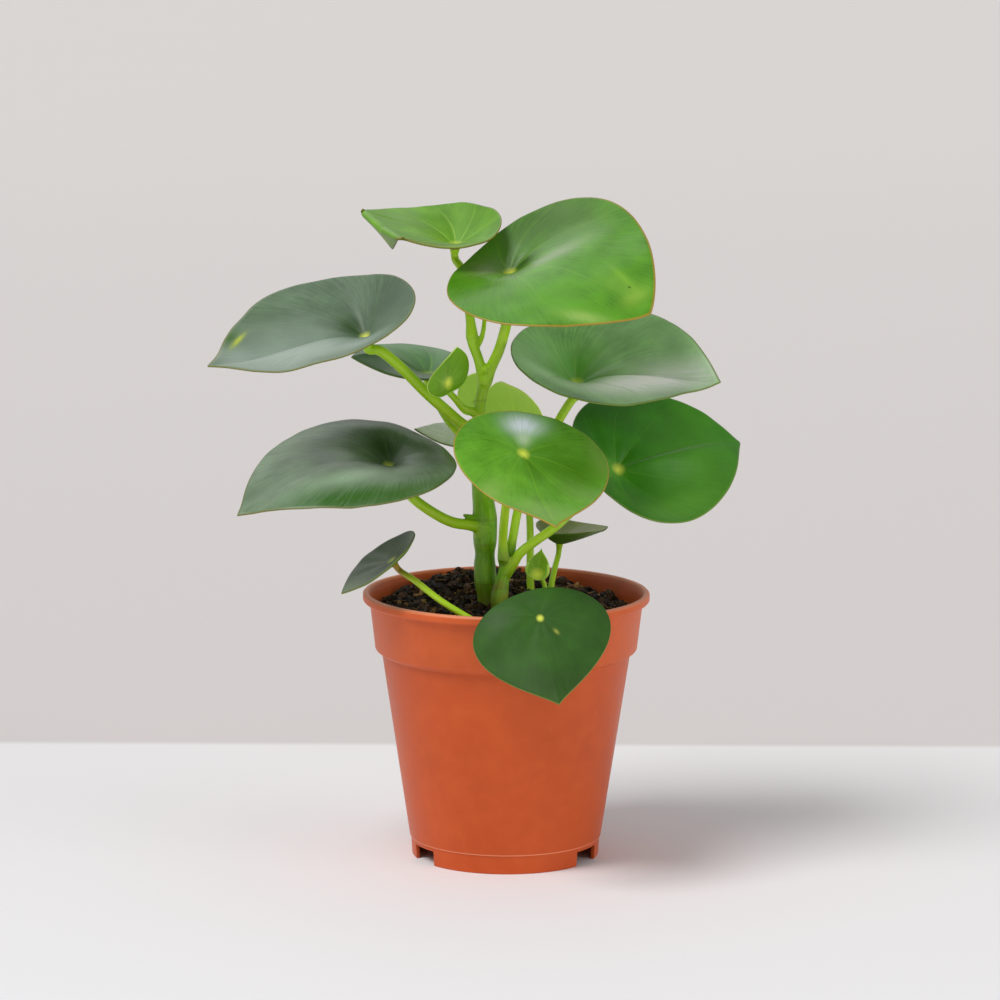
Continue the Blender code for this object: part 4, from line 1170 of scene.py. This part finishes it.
def soil_height(x, y):
    """The frame's soil: a low mound, a heap behind the stems and a few soft lumps."""
    mound = SOIL_MOUND * math.exp(-(x * x + y * y) / (2 * SOIL_MOUND_SPREAD ** 2))
    beside = (x - SOIL_HEAP_PLACE[0]) / SOIL_HEAP_SPREAD[0]
    behind = (y - SOIL_HEAP_PLACE[1]) / SOIL_HEAP_SPREAD[1]
    heap = SOIL_HEAP * math.exp(-(beside ** 2 + behind ** 2) / 2)
    lumps = 0.8 * math.sin(0.32 * x + 1.1) * math.cos(0.29 * y) + 0.5 * math.sin(0.6 * x - 0.5 * y)
    return SOIL_EDGE_Z + mound + heap + lumps


def crumbly(x, y):
    """The finer roughness of the surface."""
    return sum(height * noise.noise(Vector((x / size, y / size, layer)))
               for height, size, layer in GRIT)


def make_soil():
    turns = np.arange(SOIL_STEPS) * math.tau / SOIL_STEPS
    points = [(0.0, 0.0, soil_height(0, 0))]
    for radius in np.linspace(0, SOIL_RADIUS, SOIL_RINGS + 1)[1:]:
        for x, y in zip(radius * np.cos(turns), radius * np.sin(turns)):
            points.append((x, y, soil_height(x, y) + crumbly(x, y)))
    for radius, z in SOIL_UNDERSIDE:
        points += [(radius * math.cos(t), radius * math.sin(t), z) for t in turns]
    points.append((0.0, 0.0, SOIL_UNDERSIDE[-1][1]))
    rows = SOIL_RINGS + len(SOIL_UNDERSIDE)
    mesh = mesh_of("peat_bed", points, disc_faces(rows, SOIL_STEPS))
    set_attribute(mesh, "tone", "FLOAT", [SOIL_TONE] * len(points))
    mesh.shade_smooth()
    return add_object("peat_bed", mesh)


soil = make_soil()
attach(soil, "root")
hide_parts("soil")
print("soil bed:", len(soil.data.polygons), "faces")

# %% [markdown]
# The crumbs come in three kinds: peat crumbs of many sizes, flat tan chips of bark, and thin
# root fibres. All use one seeded source of chance, so the soil looks the same in each render.

# %% Scatter the crumbs
CRUMBS = [
    dict(count=650, size=(1.3, 2.9), flat=(0.6, 1.0), tone=(0.0, 0.55), detail=2),
    dict(count=3000, size=(0.4, 1.2), flat=(0.6, 1.0), tone=(0.0, 0.7), detail=1),
    dict(count=240, size=(0.9, 2.5), flat=(0.2, 0.4), tone=(0.7, 1.0), detail=1),
]
FIBRES = 130


def rough_ball(detail):
    """The points and faces of a ball with 20 or 80 faces."""
    ball = bmesh.new()
    bmesh.ops.create_icosphere(ball, subdivisions=detail, radius=1.0)
    points = np.array([vertex.co for vertex in ball.verts])
    faces = np.array([[vertex.index for vertex in face.verts] for face in ball.faces])
    ball.free()
    return points, faces


def random_turn(chance):
    axis = Vector((chance.gauss(0, 1), chance.gauss(0, 1), chance.gauss(0, 1)))
    return np.array(Matrix.Rotation(chance.uniform(0, math.tau), 3, axis))


def random_place(chance, room):
    """A place on the soil, clear of the pot's wall."""
    radius = (SOIL_RADIUS - room) * math.sqrt(chance.random())
    turn = chance.uniform(0, math.tau)
    x, y = radius * math.cos(turn), radius * math.sin(turn)
    return np.array((x, y, soil_height(x, y) + crumbly(x, y)))


def scatter(chance):
    points, faces, tones, total = [], [], [], 0
    for kind in CRUMBS:
        ball, ball_faces = rough_ball(kind["detail"])
        for number in range(kind["count"]):
            low, high = kind["size"]
            size = low * (high / low) ** chance.random()
            stretch = np.array((1.0, chance.uniform(0.6, 1.0), chance.uniform(*kind["flat"])))
            dent = np.array([chance.uniform(0.55, 1.3) for point in ball])[:, None]
            crumb = (ball * dent * stretch * size) @ random_turn(chance).T
            rest = random_place(chance, size) + (0, 0, size * chance.uniform(0.0, 0.45))
            points.append(crumb + rest)
            faces.append(ball_faces + total)
            tones += [chance.uniform(*kind["tone"])] * len(ball)
            total += len(ball)
    return points, faces, tones, total


def add_fibres(chance, points, faces, tones, total):
    """Short root hairs: three-sided tubes along a shallow bow."""
    for number in range(FIBRES):
        middle = random_place(chance, 6.0)
        heading = chance.uniform(0, math.tau)
        ahead = np.array((math.cos(heading), math.sin(heading), chance.uniform(-0.1, 0.25)))
        side = np.array((-ahead[1], ahead[0], 0))
        half, bow = chance.uniform(2.0, 6.5), chance.uniform(-2.0, 2.0)
        thick = chance.uniform(0.09, 0.22)
        for i in range(7):
            t = i / 3 - 1
            spine = middle + ahead * half * t + side * bow * (1 - t * t)
            spine = spine + (0, 0, 0.9 + 0.5 * (1 - t * t))
            corners = [(math.cos(a), math.sin(a)) for a in (0.3, 2.4, 4.5)]
            points.append(np.array([spine + side * thick * c + np.array((0, 0, thick * s))
                                    for c, s in corners]))
        base = total
        for i in range(6):
            for a, b in ((0, 1), (1, 2), (2, 0)):
                low, high = base + 3 * i, base + 3 * i + 3
                faces.append(np.array([[low + a, low + b, high + b],
                                       [low + a, high + b, high + a]]))
        faces.append(np.array([[base + 2, base + 1, base], [base + 18, base + 19, base + 20]]))
        tones += [chance.uniform(0.5, 0.95)] * 21
        total += 21


chance = random.Random(11)
points, faces, tones, total = scatter(chance)
add_fibres(chance, points, faces, tones, total)
mesh = mesh_of("peat_crumbs", np.concatenate(points), np.concatenate(faces).tolist())
set_attribute(mesh, "tone", "FLOAT", tones)
crumbs = add_object("peat_crumbs", mesh)
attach(crumbs, "root")
print("crumbs:", len(mesh.polygons), "faces")

# %% [markdown]
# Peat is nearly black when damp and goes brown as it dries. Each crumb carries a tone from 0 to
# 1: most are dark, the chips and fibres are tan. Peat doesn't shine, so it is quite rough, and a
# strong fine bump breaks up the flat faces of the balls.

# %% Soil finish
PEAT_DARK = colour(26, 17, 12)
PEAT_BROWN = colour(112, 78, 50)
PEAT_TAN = colour(190, 146, 92)
PEAT_GRAIN = 1.2 * MM


def soil_finish():
    finish = Finish("damp_peat", Specular_IOR_Level=0.35)
    tone = finish.attribute("tone", "Fac")
    grain = finish.noise(finish.place(), 900.0, 5.0, 0.65)
    damp = finish.noise(finish.place(), 60.0, 2.0)
    brown = finish.clamp(1.7 * tone + 1.6 * grain + 0.5 * damp - 1.35)
    dark = finish.mix(brown, PEAT_DARK, PEAT_BROWN)
    tan = finish.step(tone + 0.4 * grain, 0.75, 1.0)
    finish.use(Base_Color=finish.mix(tan, dark, PEAT_TAN), Roughness=0.78 + 0.3 * (grain - 0.5))
    finish.bump(grain, PEAT_GRAIN, 0.8)
    return finish.material


peat = soil_finish()
soil.data.materials.append(peat)
crumbs.data.materials.append(peat)
print("soil finish on", soil.name, "and", crumbs.name)

# %% [markdown]
# ## The pot
#
# A nursery pot is blown or moulded in one piece from thin polypropylene: a rolled lip, a collar
# that stacks on the next pot, a tapered body, and a foot ring with notches so that water can
# drain away. It is a turned shape, so one profile and a Screw modifier make it. The frame's pot
# has 48 flat sides; this one is round and has soft edges, which catch the light along the lip.

# %% The pot's profile, in millimetres
POT_HEIGHT = 112.0
LIP_RADIUS = 60.0
LIP_HEIGHT = 3.6
COLLAR_TOP_RADIUS = 57.2
COLLAR_FOOT = (54.9, 88.5)
BODY_TOP = (52.1, 86.3)
SEAM = (40.3, 8.3)
FOOT_RADIUS = 39.3
FOOT_INNER_RADIUS = 37.8
WALL = 1.2
FLOOR_Z = 9.0
PAD_RADIUS = 12.2
POT_STEPS = 192

pot_profile = [
    (0.0, 1.3), (PAD_RADIUS - 0.8, 1.3), (PAD_RADIUS + 3.0, FLOOR_Z), (38.3, FLOOR_Z),
    (39.1, FLOOR_Z + 0.8), (BODY_TOP[0] - WALL, BODY_TOP[1] - 0.6),
    (COLLAR_FOOT[0] - WALL, COLLAR_FOOT[1]), (COLLAR_TOP_RADIUS - WALL, POT_HEIGHT - LIP_HEIGHT),
    (LIP_RADIUS - 2.7, POT_HEIGHT - 0.6), (LIP_RADIUS - 2.1, POT_HEIGHT),
    (LIP_RADIUS - 0.7, POT_HEIGHT), (LIP_RADIUS, POT_HEIGHT - 0.7),
    (LIP_RADIUS, POT_HEIGHT - LIP_HEIGHT + 0.6), (LIP_RADIUS - 0.5, POT_HEIGHT - LIP_HEIGHT),
    (COLLAR_TOP_RADIUS, POT_HEIGHT - LIP_HEIGHT - 0.2), COLLAR_FOOT,
    (COLLAR_FOOT[0] - 0.3, COLLAR_FOOT[1] - 0.5), BODY_TOP, SEAM, (SEAM[0] - 0.1, SEAM[1] - 0.3),
    (SEAM[0] - 0.5, SEAM[1] - 0.4), (FOOT_RADIUS, 0.4), (FOOT_RADIUS - 0.3, 0.0),
    (FOOT_INNER_RADIUS, 0.0), (FOOT_INNER_RADIUS + 0.4, FLOOR_Z - WALL - 0.3),
    (FOOT_INNER_RADIUS, FLOOR_Z - WALL), (PAD_RADIUS + 4.2, FLOOR_Z - WALL),
    (PAD_RADIUS, 0.0), (0.0, 0.0),
]
print("pot profile:", len(pot_profile), "points")

# %% Turn the pot and cut its notches and drain holes
NOTCH_SIZE = (10.0, 15.0, 7.3)
NOTCH_HEIGHT = 6.3
NOTCH_ANGLES = (-30.0, 90.0, 210.0)
DRAIN_RADIUS = 3.5
DRAIN_CIRCLE = 27.0
DRAIN_DEPTH = 6.0
DRAIN_COUNT = 6
SOFT_EDGE = 0.35
SOFT_ANGLE = 25
SHARP_ANGLE = 40


def cut(piece, name, shape, radius, angle, height, turned=False):
    """Takes the shape out of the piece, at a radius, an angle in degrees and a height."""
    turn = math.radians(angle)
    cutter = add_object(name, mesh_from(name, shape))
    cutter.rotation_euler.z = turn if turned else 0.0
    cutter.location = Vector((radius * math.cos(turn), radius * math.sin(turn), height)) * MM
    modifier = piece.modifiers.new("cut", "BOOLEAN")
    modifier.solver = "EXACT"
    modifier.object = cutter
    return cutter


def make_pot():
    mesh = bpy.data.meshes.new("nursery_pot")
    points = [(radius * MM, 0, z * MM) for radius, z in pot_profile]
    mesh.from_pydata(points, [(i, i + 1) for i in range(len(points) - 1)], [])
    piece = add_object("nursery_pot", mesh)
    screw = piece.modifiers.new("turn", "SCREW")
    screw.steps = screw.render_steps = POT_STEPS
    screw.use_merge_vertices = True
    screw.merge_threshold = 0.00001
    cutters = []
    for angle in NOTCH_ANGLES:
        shape = bmesh.new()
        bmesh.ops.create_cube(shape, matrix=Matrix.Diagonal((*(Vector(NOTCH_SIZE) * MM), 1)))
        cutters.append(cut(piece, "notch", shape, FOOT_RADIUS - 0.5, angle,
                           (NOTCH_HEIGHT - 1) / 2, turned=True))
    for number in range(DRAIN_COUNT):
        shape = bmesh.new()
        bmesh.ops.create_cone(shape, cap_ends=True, segments=32, radius1=DRAIN_RADIUS * MM,
                              radius2=DRAIN_RADIUS * MM, depth=DRAIN_DEPTH * MM)
        angle = 360 * (number + 0.5) / DRAIN_COUNT
        cutters.append(cut(piece, "drain", shape, DRAIN_CIRCLE, angle, FLOOR_Z - WALL / 2))
    edge = piece.modifiers.new("soft edges", "BEVEL")
    edge.width = SOFT_EDGE * MM
    edge.segments = 3
    edge.angle_limit = math.radians(SOFT_ANGLE)
    applied(piece)
    for cutter in cutters:
        bpy.data.objects.remove(cutter, do_unlink=True)
    piece.data.shade_smooth()
    piece.data.set_sharp_from_angle(angle=math.radians(SHARP_ANGLE))
    return piece


pot = make_pot()
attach(pot, "root")
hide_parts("pot")
print("pot:", len(pot.data.polygons), "faces,", in_mm(pot.dimensions), "mm")

# %% [markdown]
# The plastic is coloured through, a brick red that is a little uneven, with a satin skin. Under
# a soft lamp such a skin shows a very fine orange peel rather than scratches. The collar is
# painted slightly lighter than the body, as painted light on the band that shows brighter under
# the lamp. A pale line on the thin edge of the step above the foot and a lighter top of the lip
# are painted highlights.

# %% Pot finish
POT_BODY = colour(208, 88, 34)
POT_PALE = colour(224, 106, 50)
POT_DEEP = colour(192, 78, 27)
POT_HIGHLIGHT_PAINT = colour(248, 168, 128)
PAINTED_HIGHLIGHT_WIDTH = 0.4
POT_GRAIN = 0.12 * MM


def pot_finish():
    finish = Finish("terracotta_plastic_skin", Specular_IOR_Level=0.3)
    x, y, height = finish.split(finish.place())
    clouds = finish.noise(finish.place(), 28.0, 3.0, 0.55)
    flow = finish.noise(finish.place(), 140.0, 3.0)
    grain = finish.noise(finish.place(), 1500.0, 2.0)
    base = finish.mix(finish.clamp(1.6 * clouds - 0.3), POT_DEEP, POT_BODY)
    # Painted light: the collar is painted lighter than the body.
    collar = finish.step(height, (COLLAR_FOOT[1] - 3) * MM, COLLAR_FOOT[1] * MM)
    pale = finish.clamp(0.35 * collar + 0.7 * flow - 0.3)
    # Painted highlights: a pale line along the edge of the step above the foot, and a lighter top
    # of the lip.
    off_seam = finish.math("ABSOLUTE", height - (SEAM[1] - 0.2) * MM)
    painted_highlight = finish.clamp(1 - off_seam / (PAINTED_HIGHLIGHT_WIDTH * MM)) * 0.8
    lip = finish.step(height, (POT_HEIGHT - 3 * PAINTED_HIGHLIGHT_WIDTH) * MM, (POT_HEIGHT - PAINTED_HIGHLIGHT_WIDTH) * MM)
    painted_highlight = finish.clamp(painted_highlight + 0.45 * lip)
    finish.use(Base_Color=finish.mix(painted_highlight, finish.mix(pale, base, POT_PALE), POT_HIGHLIGHT_PAINT))
    finish.use(Roughness=0.42 + 0.2 * (flow - 0.5) + 0.1 * (clouds - 0.5))
    finish.bump(0.7 * grain + 0.5 * flow, POT_GRAIN, 0.5)
    return finish.material


pot.data.materials.clear()
pot.data.materials.append(pot_finish())
print("pot finish on", pot.name)

# %% [markdown]
# ## Floor and light
#
# The plant stands on a white table before a pale wall. A real wall would hide the plant from
# behind in the other views, so the floor reaches far back, and from a line behind the pot on it
# takes the wall's tone. The light is that of a small studio: a soft lamp high on the left in
# front, a weak one on the right, and an even pale room around. Sun lamps stand for them, because
# their light doesn't fade with distance and leaves the far floor as bright as the near one.
#
# A waxy leaf shows the windows and panels of the room as pale sheens. Three more lamps stand for
# these, and only mirror-like surfaces see them, so that they can't wash out the shadows.

# %% Floor, in metres
FLOOR_SIZE = 40.0
WALL_LINE = 0.205
WALL_LINE_BLUR = 0.004
# The far table tone is painted shade and the wall's top tone painted light, for the light falling
# across them.
TABLE_TONE = colour(243, 245, 249)
TABLE_FAR_TONE = colour(232, 231, 233)
WALL_TONE = colour(212, 208, 208)
WALL_TOP_TONE = colour(217, 214, 213)


def floor_finish():
    finish = Finish("pale_table", Specular_IOR_Level=0.2)
    x, y, z = finish.split(finish.place())
    dust = finish.noise(finish.place(), 3.0, 3.0)
    far = finish.step(y, WALL_LINE - WALL_LINE_BLUR, WALL_LINE + WALL_LINE_BLUR)
    # Painted shade: the table darker towards the back and the right; painted light: the wall
    # lighter towards its top.
    table = finish.mix(finish.step(y + 0.4 * x, -0.6, 0.25), TABLE_TONE, TABLE_FAR_TONE)
    wall = finish.mix(finish.step(y, 0.3, 4.0), WALL_TONE, WALL_TOP_TONE)
    finish.use(Base_Color=finish.mix(far, table, wall), Roughness=0.7 + 0.1 * dust)
    return finish.material


floor_shape = bmesh.new()
bmesh.ops.create_grid(floor_shape, x_segments=1, y_segments=1, size=FLOOR_SIZE / 2)
floor = add_object("table", mesh_from("table", floor_shape))
floor.data.materials.append(floor_finish())
print("floor:", FLOOR_SIZE, "m")

# %% Room and lamps
ROOM_COLOUR = (1.0, 0.99, 0.985, 1.0)
ROOM_STRENGTH = 0.42
WARM = (1.0, 0.98, 0.96)
LAMPS = [
    dict(name="key", toward=(-1.0, -0.78, 1.8), spread=26, strength=2.0, tint=WARM),
    dict(name="side", toward=(1.0, -0.5, 0.15), spread=40, strength=0.9, tint=WARM,
         mirrored=False),
    dict(name="window", toward=(-0.5, 0.35, 0.8), spread=48, strength=0.4, lights=False),
    dict(name="rear", toward=(-0.15, 0.73, 0.66), spread=42, strength=0.35, lights=False),
    dict(name="panel", toward=(0.65, -0.43, 0.6), spread=7, strength=0.3, lights=False),
]

room = bpy.data.worlds.new("room")
room.use_nodes = True
background = room.node_tree.nodes["Background"].inputs
background["Color"].default_value = ROOM_COLOUR
background["Strength"].default_value = ROOM_STRENGTH
scene.world = room
for lamp in LAMPS:
    light = bpy.data.lights.new(lamp["name"], "SUN")
    light.angle = math.radians(lamp["spread"])
    light.energy = lamp["strength"]
    light.color = lamp.get("tint", (1.0, 1.0, 1.0))
    holder = add_object(lamp["name"], light)
    holder.location = lamp["toward"]
    holder.rotation_euler = Vector(lamp["toward"]).to_track_quat("Z", "Y").to_euler()
    holder.visible_diffuse = lamp.get("lights", True)
    holder.visible_glossy = lamp.get("mirrored", True)
print("lamps:", [lamp["name"] for lamp in LAMPS])
